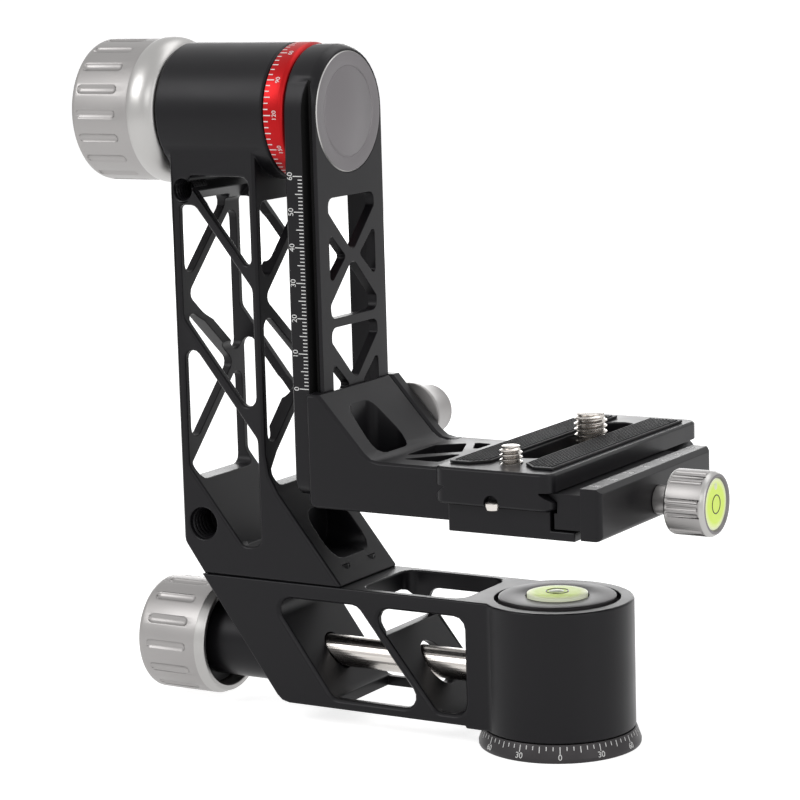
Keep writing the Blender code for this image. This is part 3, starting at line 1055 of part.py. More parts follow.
def bracket_jaw():
    jaw = slab("bracket_jaw", PARTS, "Y", bracket_side(), BRACKET_SLIT_HIGH_Y, BRACKET_HALF_WIDTH,
               EDGE_CHAMFER, at=(BRACKET_KNOB_X, BRACKET_SLIT_HIGH_Y, BRACKET_KNOB_Z))
    low, high = BRACKET_BOTTOM_Z - OVERRUN, BRACKET_TOP_Z + OVERRUN
    end = BRACKET_SLIT_END_X - SLIDE_GAP
    keep = rectangle(end, CLAMP_RIGHT_X, 0.0, BRACKET_HALF_WIDTH + OVERRUN)
    cut(jaw, slab("jaw_end", CUTTERS, "Z", keep, low, high))
    inner = SWING_GROOVE_HALF_WIDTH + SLIDE_GAP
    outer = BRACKET_HALF_WIDTH - EDGE_CHAMFER * 2
    hook = slab("jaw_hook", CUTTERS, "Z",
                rectangle(BRACKET_BACK_X, SWING_LIP_X - SLIDE_GAP / 2, inner, outer),
                BRACKET_BOTTOM_Z + BRACKET_TOE_RADIUS, BRACKET_TOP_Z - EDGE_CHAMFER)
    combine(jaw, hook, "UNION")
    cut(jaw, slab("jaw_rail_channel", CUTTERS, "Z", rail_channel(), low, high))
    hole = BRACKET_STUD_RADIUS + TURN_GAP
    cut(jaw, rod("jaw_stud_hole", CUTTERS, "Y", hole, 0.0, BRACKET_HALF_WIDTH + OVERRUN,
                 (BRACKET_KNOB_X, BRACKET_KNOB_Z)))


def bracket_lock():
    centre = (BRACKET_KNOB_X, BRACKET_KNOB_Z)
    at = (BRACKET_KNOB_X, BRACKET_HALF_WIDTH, BRACKET_KNOB_Z)
    low = BRACKET_HALF_WIDTH + TURN_GAP
    collar = BRACKET_KNOB_TIP_RADIUS
    rise = low + BRACKET_KNOB_ROUND
    end = BRACKET_KNOB_END_Y
    hole = BRACKET_STUD_RADIUS + SEAT_GAP
    bend = BRACKET_KNOB_ROUND
    tip = BRACKET_KNOB_TIP_RADIUS
    crown = [(end - bend + bend * sin(a), tip - bend + bend * cos(a))
             for a in (0.0, pi / 6, pi / 3, pi / 2)]
    turned("bracket_knob", PARTS, "Y",
           [(end - bend, 0.0), (end - bend, hole), (low, hole), (low, collar), (rise, collar),
            (rise, BRACKET_KNOB_BASE_RADIUS - bend / 4),
            (rise + bend / 4, BRACKET_KNOB_BASE_RADIUS)] + crown + [(end, 0.0)],
           centre, LARGE_SEGMENTS, at)
    rod("bracket_stud", PARTS, "Y", BRACKET_STUD_RADIUS, BRACKET_STUD_TIP_Y,
        end - bend - SEAT_GAP, centre, SMALL_SEGMENTS, FINE_CHAMFER, at)


def clamp():
    base_outline = [(CLAMP_LEFT_X, BRACKET_BOTTOM_Z, FINE_CHAMFER),
                    (CLAMP_LEDGE_X, BRACKET_BOTTOM_Z, FINE_CHAMFER),
                    (CLAMP_LEDGE_X, CLAMP_LEDGE_Z, 0), (CLAMP_RIGHT_X, CLAMP_LEDGE_Z, 0),
                    (CLAMP_RIGHT_X, CLAMP_TOP_Z, 0), (CLAMP_LEFT_X, CLAMP_TOP_Z, 0)]
    body = slab("clamp_base", PARTS, "Y", base_outline, -CLAMP_HALF_LENGTH, CLAMP_HALF_LENGTH,
                FINE_CHAMFER)
    head = CLAMP_SCREW_HEAD_RADIUS + SEAT_GAP
    shank = CLAMP_SCREW_RADIUS + SEAT_GAP
    right = CLAMP_RIGHT_X + OVERRUN
    left = CLAMP_LEFT_X - OVERRUN
    holes = []
    for y in (-CLAMP_SCREW_SPREAD, CLAMP_SCREW_SPREAD):
        holes.append(turned("clamp_hole", CUTTERS, "X",
                            [(left, 0.0), (left, shank), (CLAMP_SCREW_HEAD_X, shank),
                             (CLAMP_SCREW_HEAD_X, head), (right, head), (right, 0.0)],
                            (y, CLAMP_SCREW_Z), TINY_SEGMENTS))
        bolt(f"clamp_screw_{len(holes)}", "X", CLAMP_SCREW_TIP_X, CLAMP_SCREW_HEAD_X + SEAT_GAP,
             CLAMP_SCREW_HEAD_X + CLAMP_SCREW_HEAD_RADIUS, CLAMP_SCREW_RADIUS,
             CLAMP_SCREW_HEAD_RADIUS, (y, CLAMP_SCREW_Z))
    pin = JAW_PIN_RADIUS + TURN_GAP
    for y in (-JAW_PIN_SPREAD, JAW_PIN_SPREAD):
        holes.append(rod("pin_hole", CUTTERS, "X", pin, CLAMP_RIGHT_X - JAW_PIN_DEPTH - OVERRUN,
                         right, (y, CLAMP_KNOB_Z - JAW_PIN_RADIUS), TINY_SEGMENTS))
    holes.append(rod("stud_tap", CUTTERS, "X", CLAMP_STUD_RADIUS + SEAT_GAP,
                     CLAMP_STUD_TIP_X - OVERRUN, right, (0, CLAMP_KNOB_Z), TINY_SEGMENTS))
    cut(body, merged("clamp_base_holes", holes))


def clamp_jaw():
    at = (JAW_INNER_X, 0, CLAMP_KNOB_Z)
    wall = PLATE_HALF_WIDTH + SLIDE_GAP
    tip = PLATE_NOTCH_HALF_WIDTH + SLIDE_GAP + DOVETAIL_TIP_LAND
    top = PLATE_LEDGE_Z - SLIDE_GAP
    chamfer = JAW_TOP_CHAMFER
    outline = [(JAW_INNER_X, JAW_BOTTOM_Z, 0), (JAW_OUTER_X, JAW_BOTTOM_Z, chamfer),
               (JAW_OUTER_X, JAW_TOP_Z - chamfer, 0), (JAW_OUTER_X - chamfer, JAW_TOP_Z, 0),
               (JAW_INNER_X, JAW_TOP_Z, 0), (JAW_INNER_X, top, 0), (tip, top, 0),
               (tip, top - DOVETAIL_TIP_LAND, 0), (wall, PLATE_FLARE_Z + SLIDE_GAP, 0),
               (wall, JAW_TONGUE_HIGH_Z, 0), (JAW_TONGUE_X, JAW_TONGUE_HIGH_Z, 0),
               (JAW_TONGUE_X, JAW_TONGUE_LOW_Z, 0), (JAW_INNER_X, JAW_TONGUE_LOW_Z, 0)]
    jaw = slab("clamp_jaw", PARTS, "Y", outline, -JAW_HALF_LENGTH, JAW_HALF_LENGTH, at=at)
    plan = rectangle(tip - OVERRUN - JAW_CORNER_RADIUS, JAW_OUTER_X, -JAW_HALF_LENGTH,
                     JAW_HALF_LENGTH, JAW_CORNER_RADIUS)
    combine(jaw, slab("jaw_plan", CUTTERS, "Z", plan, JAW_BOTTOM_Z - OVERRUN,
                      JAW_TOP_Z + OVERRUN), "INTERSECT")
    ends = []
    inner_end = CLAMP_HALF_LENGTH - FINE_CHAMFER
    for low, high in ((-JAW_HALF_LENGTH - OVERRUN, -inner_end), (inner_end, JAW_HALF_LENGTH + OVERRUN)):
        ends.append(slab("jaw_trim", CUTTERS, "Y",
                         rectangle(tip - OVERRUN, JAW_INNER_X, JAW_BOTTOM_Z, JAW_TOP_Z + OVERRUN),
                         low, high))
    cut(jaw, merged("jaw_end_trims", ends))
    pin_z = CLAMP_KNOB_Z - JAW_PIN_RADIUS
    sockets = []
    for index, y in enumerate((-JAW_PIN_SPREAD, JAW_PIN_SPREAD)):
        sockets.append(rod("pin_socket", CUTTERS, "X", JAW_PIN_RADIUS + SEAT_GAP,
                           JAW_TONGUE_X - OVERRUN, JAW_INNER_X, (y, pin_z), TINY_SEGMENTS))
        rod(f"jaw_pin_{index + 1}", PARTS, "X", JAW_PIN_RADIUS, CLAMP_RIGHT_X - JAW_PIN_DEPTH,
            JAW_INNER_X - SEAT_GAP, (y, pin_z), TINY_SEGMENTS)
    sockets.append(rod("stud_hole", CUTTERS, "X", CLAMP_STUD_RADIUS + TURN_GAP,
                       JAW_TONGUE_X - OVERRUN, JAW_OUTER_X + OVERRUN, (0, CLAMP_KNOB_Z), TINY_SEGMENTS))
    cut(jaw, merged("jaw_holes", sockets))


def fluted_loop(radius, depth):
    """A circle with groups of scallops between plain lands."""
    share = FLUTED_SHARE
    points = []
    sector = 2 * pi / CLAMP_KNOB_GROUPS
    per_flute = 3
    for group in range(CLAMP_KNOB_GROUPS):
        start = group * sector
        for land in range(3):
            points.append((start + sector * (1 - share) * land / 3, 0.0))
        for step in range(CLAMP_KNOB_FLUTES * per_flute):
            angle = start + sector * (1 - share) + sector * share * step / (
                CLAMP_KNOB_FLUTES * per_flute)
            points.append((angle, sin(pi * (step % per_flute) / per_flute)))
    return [((radius - depth * dip) * cos(angle), CLAMP_KNOB_Z + (radius - depth * dip) * sin(angle))
            for angle, dip in points]


def clamp_lock():
    at = (JAW_OUTER_X, 0, CLAMP_KNOB_Z)
    inner, outer = CLAMP_KNOB_INNER_X, CLAMP_KNOB_OUTER_X
    radius, bevel, depth = CLAMP_KNOB_RADIUS, CLAMP_KNOB_BEVEL, CLAMP_KNOB_FLUTE_DEPTH
    mesh_data = bmesh.new()
    skin(mesh_data, "X", [(inner, fluted_loop(radius - bevel, 0.0)),
                          (inner + bevel, fluted_loop(radius, depth)),
                          (outer - bevel, fluted_loop(radius, depth)),
                          (outer, fluted_loop(radius - bevel * 3 / 4, 0.0))])
    knob = as_object("clamp_knob", mesh_data, PARTS, at)
    centre = (0, CLAMP_KNOB_Z)
    start = JAW_OUTER_X + TURN_GAP
    combine(knob, rod("knob_neck", CUTTERS, "X", CLAMP_KNOB_NECK_RADIUS, start, inner + bevel,
                      centre), "UNION")
    floor = outer - KNOB_LEVEL_SINK - KNOB_LEVEL_DEPTH
    cut(knob, rod("knob_well", CUTTERS, "X", KNOB_LEVEL_RADIUS + SEAT_GAP, floor,
                  outer + OVERRUN, centre, LARGE_SEGMENTS))
    deep = (inner + floor) / 2
    cut(knob, rod("knob_bore", CUTTERS, "X", CLAMP_STUD_RADIUS + SEAT_GAP, start - OVERRUN, deep,
                  centre, TINY_SEGMENTS))
    rod("clamp_stud", PARTS, "X", CLAMP_STUD_RADIUS, CLAMP_STUD_TIP_X, deep - SEAT_GAP, centre,
        TINY_SEGMENTS, FINE_CHAMFER, at)
    rod("knob_level", PARTS, "X", KNOB_LEVEL_RADIUS, floor + SEAT_GAP, outer - KNOB_LEVEL_SINK,
        centre, LARGE_SEGMENTS, FINE_CHAMFER, at)


def camera_plate():
    middle = (PLATE_FRONT_Y + PLATE_BACK_Y) / 2
    at = (0, middle, PLATE_BOTTOM_Z)
    half = PLATE_HALF_WIDTH
    plan = rectangle(-half, half, PLATE_FRONT_Y, PLATE_BACK_Y, PLATE_CORNER_RADIUS)
    plate = slab("camera_plate", PARTS, "Z", plan, PLATE_BOTTOM_Z, PLATE_TOP_Z, FINE_CHAMFER * 2,
                 at)
    notch = [(PLATE_NOTCH_HALF_WIDTH, PLATE_LEDGE_Z - DOVETAIL_TIP_LAND, 0),
             (half, PLATE_FLARE_Z, 0), (half + OVERRUN, PLATE_FLARE_Z, 0),
             (half + OVERRUN, PLATE_LEDGE_Z, 0), (PLATE_NOTCH_HALF_WIDTH, PLATE_LEDGE_Z, 0)]
    front, back = PLATE_FRONT_Y - OVERRUN, PLATE_BACK_Y + OVERRUN
    cut(plate, merged("plate_notches", [slab("notch_right", CUTTERS, "Y", notch, front, back),
                                        slab("notch_left", CUTTERS, "Y", mirrored(notch), front,
                                             back)]))
    slot = rectangle(-SLOT_HALF_WIDTH, SLOT_HALF_WIDTH, SLOT_FRONT_Y, SLOT_BACK_Y,
                     SLOT_HALF_WIDTH * 0.999)
    cut(plate, window("plate_slot", "Z", slot, PLATE_BOTTOM_Z, PLATE_TOP_Z, FINE_CHAMFER))
    spread = SLOT_HEAD_HALF_WIDTH - SLOT_HALF_WIDTH
    under = rectangle(-SLOT_HEAD_HALF_WIDTH, SLOT_HEAD_HALF_WIDTH, SLOT_FRONT_Y + spread / 2,
                      SLOT_BACK_Y + spread, SLOT_HEAD_HALF_WIDTH * 0.999)
    cut(plate, slab("slot_underside", CUTTERS, "Z", under, PLATE_BOTTOM_Z - OVERRUN,
                    SCREW_HEAD_ROOF_Z))
    hole = SMALL_SCREW_RADIUS + SCREW_HOLE_CLEARANCE
    head = SMALL_SCREW_HEAD_RADIUS + SCREW_HOLE_CLEARANCE
    low, high = PLATE_BOTTOM_Z - OVERRUN, PLATE_TOP_Z + OVERRUN
    cut(plate, turned("screw_hole", CUTTERS, "Z",
                      [(low, 0.0), (low, head), (SCREW_HEAD_ROOF_Z, head),
                       (SCREW_HEAD_ROOF_Z, hole), (high, hole), (high, 0.0)],
                      (0, SMALL_SCREW_Y), SMALL_SEGMENTS))
    stops = []
    for index, (face, inward) in enumerate(((PLATE_FRONT_Y, 1), (PLATE_BACK_Y, -1))):
        deep = face + inward * STOP_SCREW_SINK
        stops.append(stop_screw(f"stop_screw_{index + 1}", face, deep, -inward))
    for name, low_x, high_x in (("grip_strip_left", -STRIP_OUTER_X, -STRIP_INNER_X),
                                ("grip_strip_right", STRIP_INNER_X, STRIP_OUTER_X)):
        base_z = PLATE_TOP_Z + SEAT_GAP / 2
        slab(name, PARTS, "Z", rectangle(low_x, high_x, STRIP_FRONT_Y, STRIP_BACK_Y, STRIP_RADIUS),
             base_z, base_z + STRIP_THICKNESS, 0.0, at)
    cut(plate, *stops)


def stop_screw(name, face, deep, outward):
    """A small stop screw in the plate's end, and the hole it sits in."""
    z = PLATE_BOTTOM_Z + STOP_SCREW_HEAD_RADIUS / 2
    centre = (0, z)
    head = face + outward * STOP_SCREW_HEAD
    turned(name, PARTS, "Y", [(deep, 0.0), (deep, STOP_SCREW_HEAD_RADIUS),
                              (face, STOP_SCREW_HEAD_RADIUS), (head, STOP_SCREW_RADIUS),
                              (head, 0.0)], centre, SMALL_SEGMENTS)
    beyond = face + outward * OVERRUN
    inner = deep - outward * SEAT_GAP
    return rod(f"{name}_hole", CUTTERS, "Y", STOP_SCREW_HEAD_RADIUS + SEAT_GAP,
               min(inner, beyond), max(inner, beyond), centre)


def camera_screw(name, y, radius, head_radius, top, pitch):
    """A camera screw with its thread drawn as rings above a flat slotted head."""
    roof = SCREW_HEAD_ROOF_Z - SEAT_GAP
    low = roof - CAMERA_SCREW_HEAD_HEIGHT
    core = radius - pitch / 2
    profile = [(low, 0.0), (low, head_radius), (roof, head_radius), (roof, core)]
    start = roof + pitch / 2
    turns = int((top - start) / pitch)
    for turn in range(turns):
        at = start + turn * pitch
        profile += [(at, core), (at + pitch / 2, radius)]
    profile += [(top - pitch / 4, core), (top, core - pitch / 4), (top, 0.0)]
    turned(name, PARTS, "Z", profile, (0, y), SMALL_SEGMENTS, (0, y, low))


def paint(made, finish):
    """Gives a piece its own Principled material in a named finish."""
    colour, metallic, roughness = FINISHES[finish]
    material = bpy.data.materials.new(f"{made.name}_{finish}")
    material.use_nodes = True
    shader = material.node_tree.nodes["Principled BSDF"]
    shader.inputs["Base Color"].default_value = colour
    shader.inputs["Metallic"].default_value = metallic
    shader.inputs["Roughness"].default_value = roughness
    made.data.materials.append(material)
    made.data.shade_smooth()
    made.data.set_sharp_from_angle(angle=radians(30))


def finish_of(name):
    for word, finish in (("level", "level_green"), ("strip", "rubber"), ("swing_cap", "grey_satin"),
                         ("scale_ring", "red_anodised"), ("hub", "black_plastic"),
                         ("bush", "brass"), ("shoe", "brass"), ("knob", "silver_satin"),
                         ("screw", "steel"), ("bolt", "steel"), ("stud", "steel"),
                         ("rod", "steel"), ("pin", "steel"), ("shaft", "steel"),
                         ("spindle", "steel"), ("retainer", "steel")):
        if word in name:
            return finish
    return "black_anodised"


for old in list(bpy.data.objects):
    bpy.data.objects.remove(old)
PARTS = collection("gimbal_head")
CUTTERS = collection("cutters")

base()
lower_arm()
arm_fittings()
pan_lock()
vertical_arm()
tilt_lock()
swing_parts()
bracket()
bracket_jaw()
bracket_lock()
clamp()
clamp_jaw()
clamp_lock()
camera_plate()
camera_screw("small_camera_screw", SMALL_SCREW_Y, SMALL_SCREW_RADIUS, SMALL_SCREW_HEAD_RADIUS,
             SMALL_SCREW_TOP_Z, SMALL_SCREW_PITCH)
camera_screw("large_camera_screw", LARGE_SCREW_Y, LARGE_SCREW_RADIUS, LARGE_SCREW_HEAD_RADIUS,
             LARGE_SCREW_TOP_Z, LARGE_SCREW_PITCH)
for piece in PARTS.objects:
    paint(piece, finish_of(piece.name))
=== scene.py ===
# %% [markdown]
# # A gimbal head for a long lens
#
# A gimbal head hangs a heavy lens so that it balances about two axes: the whole head turns on
# its graduated base, and the swing arm tilts in the barrel at the top of the column. The CAD
# model already has every part in its true place and size. This lesson dresses it: it breaks the
# sharp edges, turns finer knobs, cuts threads, prints the scales and gives each metal its finish.
#
# Nothing in it is moved. New pieces ride on the same bodies, so the head can still pan, tilt and
# slide.

# %% Load the CAD parts and measure them
import json
from math import cos, pi, radians, sin

import bpy
from mathutils import Matrix, Vector

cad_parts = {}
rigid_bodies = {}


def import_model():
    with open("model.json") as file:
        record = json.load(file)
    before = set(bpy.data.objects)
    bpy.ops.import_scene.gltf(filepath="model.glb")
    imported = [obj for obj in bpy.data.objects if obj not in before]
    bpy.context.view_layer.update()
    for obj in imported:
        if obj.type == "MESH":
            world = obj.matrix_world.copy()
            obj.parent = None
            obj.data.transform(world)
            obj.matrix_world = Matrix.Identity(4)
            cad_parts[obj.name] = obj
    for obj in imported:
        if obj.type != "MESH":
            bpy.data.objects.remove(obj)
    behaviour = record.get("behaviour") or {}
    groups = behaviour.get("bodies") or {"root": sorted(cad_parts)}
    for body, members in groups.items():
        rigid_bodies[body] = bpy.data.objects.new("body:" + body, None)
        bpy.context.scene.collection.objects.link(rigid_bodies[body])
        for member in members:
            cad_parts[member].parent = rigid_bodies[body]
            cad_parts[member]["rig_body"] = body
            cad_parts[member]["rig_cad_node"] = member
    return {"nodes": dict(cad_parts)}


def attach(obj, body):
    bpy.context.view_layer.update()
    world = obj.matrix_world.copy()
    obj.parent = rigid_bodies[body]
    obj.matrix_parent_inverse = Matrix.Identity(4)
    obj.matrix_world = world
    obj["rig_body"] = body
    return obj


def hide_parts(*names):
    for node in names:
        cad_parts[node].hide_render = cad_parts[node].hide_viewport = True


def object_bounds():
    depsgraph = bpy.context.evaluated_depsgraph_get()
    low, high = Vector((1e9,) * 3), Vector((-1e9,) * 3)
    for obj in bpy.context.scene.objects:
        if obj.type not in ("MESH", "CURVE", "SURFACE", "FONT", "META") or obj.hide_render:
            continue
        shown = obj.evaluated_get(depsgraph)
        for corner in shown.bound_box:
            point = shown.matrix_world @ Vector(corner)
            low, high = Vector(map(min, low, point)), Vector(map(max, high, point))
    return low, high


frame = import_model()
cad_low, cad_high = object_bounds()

MM = 0.001
print("CAD box, mm:", [round(side / MM, 1) for side in cad_high - cad_low])

# %% [markdown]
# ## Working one piece at a time
#
# An operator acts on everything that is selected, so each step first picks its own pieces. A
# modifier is added, set and applied at once, so the finished mesh holds the real shape.

# %% Picking pieces and applying modifiers


def pick(*pieces):
    """Selects just these pieces in object mode and makes the last one active."""
    if bpy.context.mode != "OBJECT":
        bpy.ops.object.mode_set(mode="OBJECT")
    bpy.ops.object.select_all(action="DESELECT")
    for piece in pieces:
        piece.select_set(True)
        bpy.context.view_layer.objects.active = piece


def apply_modifier(piece, kind, **settings):
    """Adds a modifier, sets it and applies it."""
    pick(piece)
    bpy.ops.object.modifier_add(type=kind)
    modifier = piece.modifiers[-1]
    for name, value in settings.items():
        setattr(modifier, name, value)
    bpy.ops.object.modifier_apply(modifier=modifier.name)


def soften(piece, angle=38):
    """Smooth shading that still breaks at the real edges."""
    pick(piece)
    bpy.ops.object.shade_smooth_by_angle(angle=radians(angle))
    return piece


# %% [markdown]
# ## Metals and plastics
#
# Anodised aluminium is bead-blasted before it is dyed, so it is satin rather than glossy. In a
# shader that is a mid roughness with a slight drift from place to place, and a very fine bump.
# The drift comes from a noise texture on Object coordinates, which sit still on the metal. One
# helper makes them all, because only the colour, the metal share and the grain differ.

# %% A helper for blasted, turned and moulded finishes
DRIFT_SCALE = 55
DARKER, PALER = 0.93, 1.06
GRAIN_DEPTH = 0.05 * MM


def surface(name, colour, metallic, roughness, drift=0.04, grain=2500, bump=0.02, coat=0.0,
            shine=0.5):
    """A Principled material with a drifting roughness, a drifting tone and a fine bump."""
    material = bpy.data.materials.new(name)
    material.use_nodes = True
    nodes, links = material.node_tree.nodes, material.node_tree.links
    shader = nodes["Principled BSDF"]
    shader.inputs["Metallic"].default_value = metallic
    shader.inputs["Coat Weight"].default_value = coat
    shader.inputs["Specular IOR Level"].default_value = shine
    place = nodes.new("ShaderNodeTexCoord")
    cloud = nodes.new("ShaderNodeTexNoise")
    cloud.inputs["Scale"].default_value = DRIFT_SCALE
    cloud.inputs["Detail"].default_value = 4
    links.new(place.outputs["Object"], cloud.inputs["Vector"])
    rough = nodes.new("ShaderNodeMapRange")
    rough.inputs["From Min"].default_value = 0.3
    rough.inputs["From Max"].default_value = 0.7
    rough.inputs["To Min"].default_value = roughness - drift
    rough.inputs["To Max"].default_value = roughness + drift
    links.new(cloud.outputs["Fac"], rough.inputs["Value"])
    links.new(rough.outputs["Result"], shader.inputs["Roughness"])
    tone = nodes.new("ShaderNodeMix")
    tone.data_type = "RGBA"
    tone.inputs[6].default_value = (*[part * DARKER for part in colour], 1)
    tone.inputs[7].default_value = (*[min(1.0, part * PALER) for part in colour], 1)
    links.new(cloud.outputs["Fac"], tone.inputs["Factor"])
    links.new(tone.outputs[2], shader.inputs["Base Color"])
    fine = nodes.new("ShaderNodeTexNoise")
    fine.inputs["Scale"].default_value = grain
    fine.inputs["Detail"].default_value = 2
    links.new(place.outputs["Object"], fine.inputs["Vector"])
    height = nodes.new("ShaderNodeBump")
    height.inputs["Strength"].default_value = bump
    height.inputs["Distance"].default_value = GRAIN_DEPTH
    links.new(fine.outputs["Fac"], height.inputs["Height"])
    links.new(height.outputs["Normal"], shader.inputs["Normal"])
    return material


BLACK = surface("satin_black_anodising", (0.0090, 0.0085, 0.0100), 0.25, 0.36, shine=0.22)
# Painted shade: a near-black for the swing arm's side grooves, where only shade falls.
PAINTED_GROOVE_SHADE = surface("painted_groove_shade", (0.004, 0.004, 0.004), 0.1, 0.50, shine=0.1)
SILVER = surface("blasted_silver", (0.31, 0.300, 0.296), 1.0, 0.42, grain=4000, bump=0.05)
POLISHED = surface("polished_aluminium", (0.40, 0.393, 0.385), 1.0, 0.36, 0.02, bump=0.0)
STEEL = surface("bright_steel", (0.58, 0.55, 0.52), 1.0, 0.24, 0.03, bump=0.0)
GREY = surface("grey_anodising", (0.20, 0.188, 0.196), 0.5, 0.45, grain=4000)
# Painted light: a paler copy of the black anodising, for the base ring and the pan cap.
BLACK_WITH_PAINTED_LIGHT = surface("black_with_painted_light", (0.040, 0.037, 0.039), 0.4, 0.42, shine=0.3)
RED = surface("red_anodising", (0.42, 0.003, 0.005), 0.6, 0.36, shine=0.3)
BRASS = surface("turned_brass", (0.72, 0.50, 0.22), 1.0, 0.28)
RUBBER = surface("moulded_rubber", (0.010, 0.010, 0.011), 0.0, 0.45, bump=0.1, shine=0.2)
PLASTIC = surface("black_plastic", (0.012, 0.012, 0.013), 0.0, 0.45, shine=0.25)
WHITE = surface("white_filled_marks", (0.80, 0.80, 0.79), 0.0, 0.55, bump=0.0)
print(len(bpy.data.materials), "materials so far")

# %% [markdown]
# ## Painting the CAD parts that stay
#
# Screws, pins and the parts inside the head keep their CAD meshes. They only take a material;
# the table's last column names a record slot, which is not set here. The name of each node tells
# what it is made of, so a short list of words is enough: the first word that a name contains
# decides.

# %% Give every CAD part its finish
STEEL_WORDS = ("screw", "bolt", "stud", "rod", "pin", "shaft", "spindle", "retainer")
FINISHES = [("arm_bolt", BLACK, "black_anodised"), ("level", PLASTIC, "level_green"),
            ("strip", RUBBER, "rubber"), ("swing_cap", GREY, "black_anodised"),
            ("scale_ring", RED, "black_anodised"), ("hub", PLASTIC, "black_plastic"),
            ("bush", BRASS, "brass"), ("shoe", BRASS, "brass"), ("knob", SILVER, "silver_satin"),
            *[(word, STEEL, "steel") for word in STEEL_WORDS], ("", BLACK, "black_anodised")]


def dress(piece, *materials):
    """Swaps a piece's material slots for the given ones."""
    piece.data.materials.clear()
    for material in materials:
        piece.data.materials.append(material)


for name, node in frame["nodes"].items():
    finish, slot = next(row[1:] for row in FINISHES if row[0] in name)
    dress(node, finish)
print(len(frame["nodes"]), "CAD parts painted")

# %% [markdown]
# ## Broken edges on the milled parts
#
# No milled edge is truly sharp: a light cut breaks it, and that narrow face is what catches the
# light. A copy of the CAD part is welded, its flat faces are joined, and a Bevel modifier cuts
# each sharp edge by 0.2 or 0.3 mm. Weighted normals keep the big faces flat beside it.
# A copy is used because the CAD mesh itself is loose triangles and stays untouched.

# %% Make the milled bodies
WELD = 0.002 * MM
LIGHT_CUT, WIDE_CUT = 0.2 * MM, 0.3 * MM


def mount(piece, body, materials, nodes=()):
    """Finishes a piece: its materials, its body and the CAD parts it stands for."""
    dress(piece, *materials)
    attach(piece, body)
    if nodes:
        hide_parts(*nodes)


def machined(node, edge):
    """A welded copy of a CAD part with its sharp edges broken, in the part's place."""
    source = frame["nodes"][node]
    pick(source)
    bpy.ops.object.duplicate()
    piece = bpy.context.object
    piece.name = f"{node}_milled"
    del piece["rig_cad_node"]
    bpy.ops.mesh.customdata_custom_splitnormals_clear()
    bpy.ops.object.mode_set(mode="EDIT")
    bpy.ops.mesh.select_all(action="SELECT")
    bpy.ops.mesh.remove_doubles(threshold=WELD)
    bpy.ops.mesh.dissolve_limited(angle_limit=radians(0.4))
    bpy.ops.object.mode_set(mode="OBJECT")
    apply_modifier(piece, "BEVEL", width=edge, segments=2, limit_method="ANGLE",
                   angle_limit=radians(40), use_clamp_overlap=False)
    soften(piece)
    apply_modifier(piece, "WEIGHTED_NORMAL", keep_sharp=True)
    print(node, len(piece.data.polygons), "faces")
    mount(piece, source["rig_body"], [BLACK], [node])


for name in ("lower_arm", "vertical_arm"):
    machined(name, WIDE_CUT)
for name in ("swing_arm", "bracket", "bracket_jaw", "clamp_base", "clamp_jaw", "camera_plate",
             "pan_lock_sleeve"):
    machined(name, LIGHT_CUT)

# %% [markdown]
# ## The swing arm's side grooves
#
# A groove runs up each side of the swing arm, and little light reaches it. Its floor could be
# left to the renderer, but the soft boxes would still shine into it from the front. A second,
# darker material on the faces that lie in the groove paints shade into it, keeping it dark from
# every side.

# %% Darken the side grooves
GROOVE_X, GROOVE_Y, GROOVE_TOP_Z = (-67.4, -65.2), (15.9, 18.4), 172
swing = bpy.data.objects["swing_arm_milled"]
# The groove faces take the painted shade, which is darker than the black anodising.
swing.data.materials.append(PAINTED_GROOVE_SHADE)
for face in swing.data.polygons:
    x, y, z = face.center / MM
    across, deep = GROOVE_X[0] < x < GROOVE_X[1], GROOVE_Y[0] < abs(y) < GROOVE_Y[1]
    face.material_index = int(across and deep and z < GROOVE_TOP_Z)
print("faces in the grooves:", sum(face.material_index for face in swing.data.polygons))

# %% [markdown]
# ## Turning round parts
#
# Rings, caps and knobs are turned on a lathe. The same works here: a single vertex is extruded
# along the half profile, and a Screw modifier sweeps that line round the axis. A primitive
# cylinder would need every step, bevel and bore added later, and the profile is easier to read.

# %% A lathe


def drawn(name, points, closed=False):
    """A line of (depth, radius) points, made by extruding one vertex in the XZ plane."""
    pick()
    bpy.ops.mesh.primitive_plane_add(size=MM)
    piece = bpy.context.object
    piece.name = name
    bpy.ops.object.mode_set(mode="EDIT")
    bpy.ops.mesh.select_all(action="SELECT")
    bpy.ops.mesh.merge(type="CENTER")
    depth, radius = points[0]
    bpy.ops.transform.translate(value=(radius, 0, depth))
    for depth_next, radius_next in points[1:]:
        bpy.ops.mesh.extrude_vertices_move(
            TRANSFORM_OT_translate={"value": (radius_next - radius, 0, depth_next - depth)})
        depth, radius = depth_next, radius_next
    if closed:
        bpy.ops.mesh.select_all(action="SELECT")
        bpy.ops.mesh.remove_doubles(threshold=WELD)
    bpy.ops.object.mode_set(mode="OBJECT")
    return piece


def settle(piece, axis, centre):
    """Turns a piece from its own Z onto the part's axis and puts it in place."""
    pick(piece)
    if axis == "X":
        piece.rotation_euler, piece.location = (0, pi / 2, 0), (0, *centre)
    elif axis == "Y":
        piece.rotation_euler, piece.location = (-pi / 2, 0, 0), (centre[0], 0, centre[1])
    else:
        piece.location = (*centre, 0)
    bpy.ops.object.transform_apply(location=True, rotation=True, scale=True)
    return piece


def tidy_normals(piece):
    """Welds a closed mesh and points its faces outwards."""
    pick(piece)
    bpy.ops.object.mode_set(mode="EDIT")
    bpy.ops.mesh.select_all(action="SELECT")
    bpy.ops.mesh.remove_doubles(threshold=WELD)
    bpy.ops.mesh.normals_make_consistent(inside=False)
    bpy.ops.object.mode_set(mode="OBJECT")
    return piece


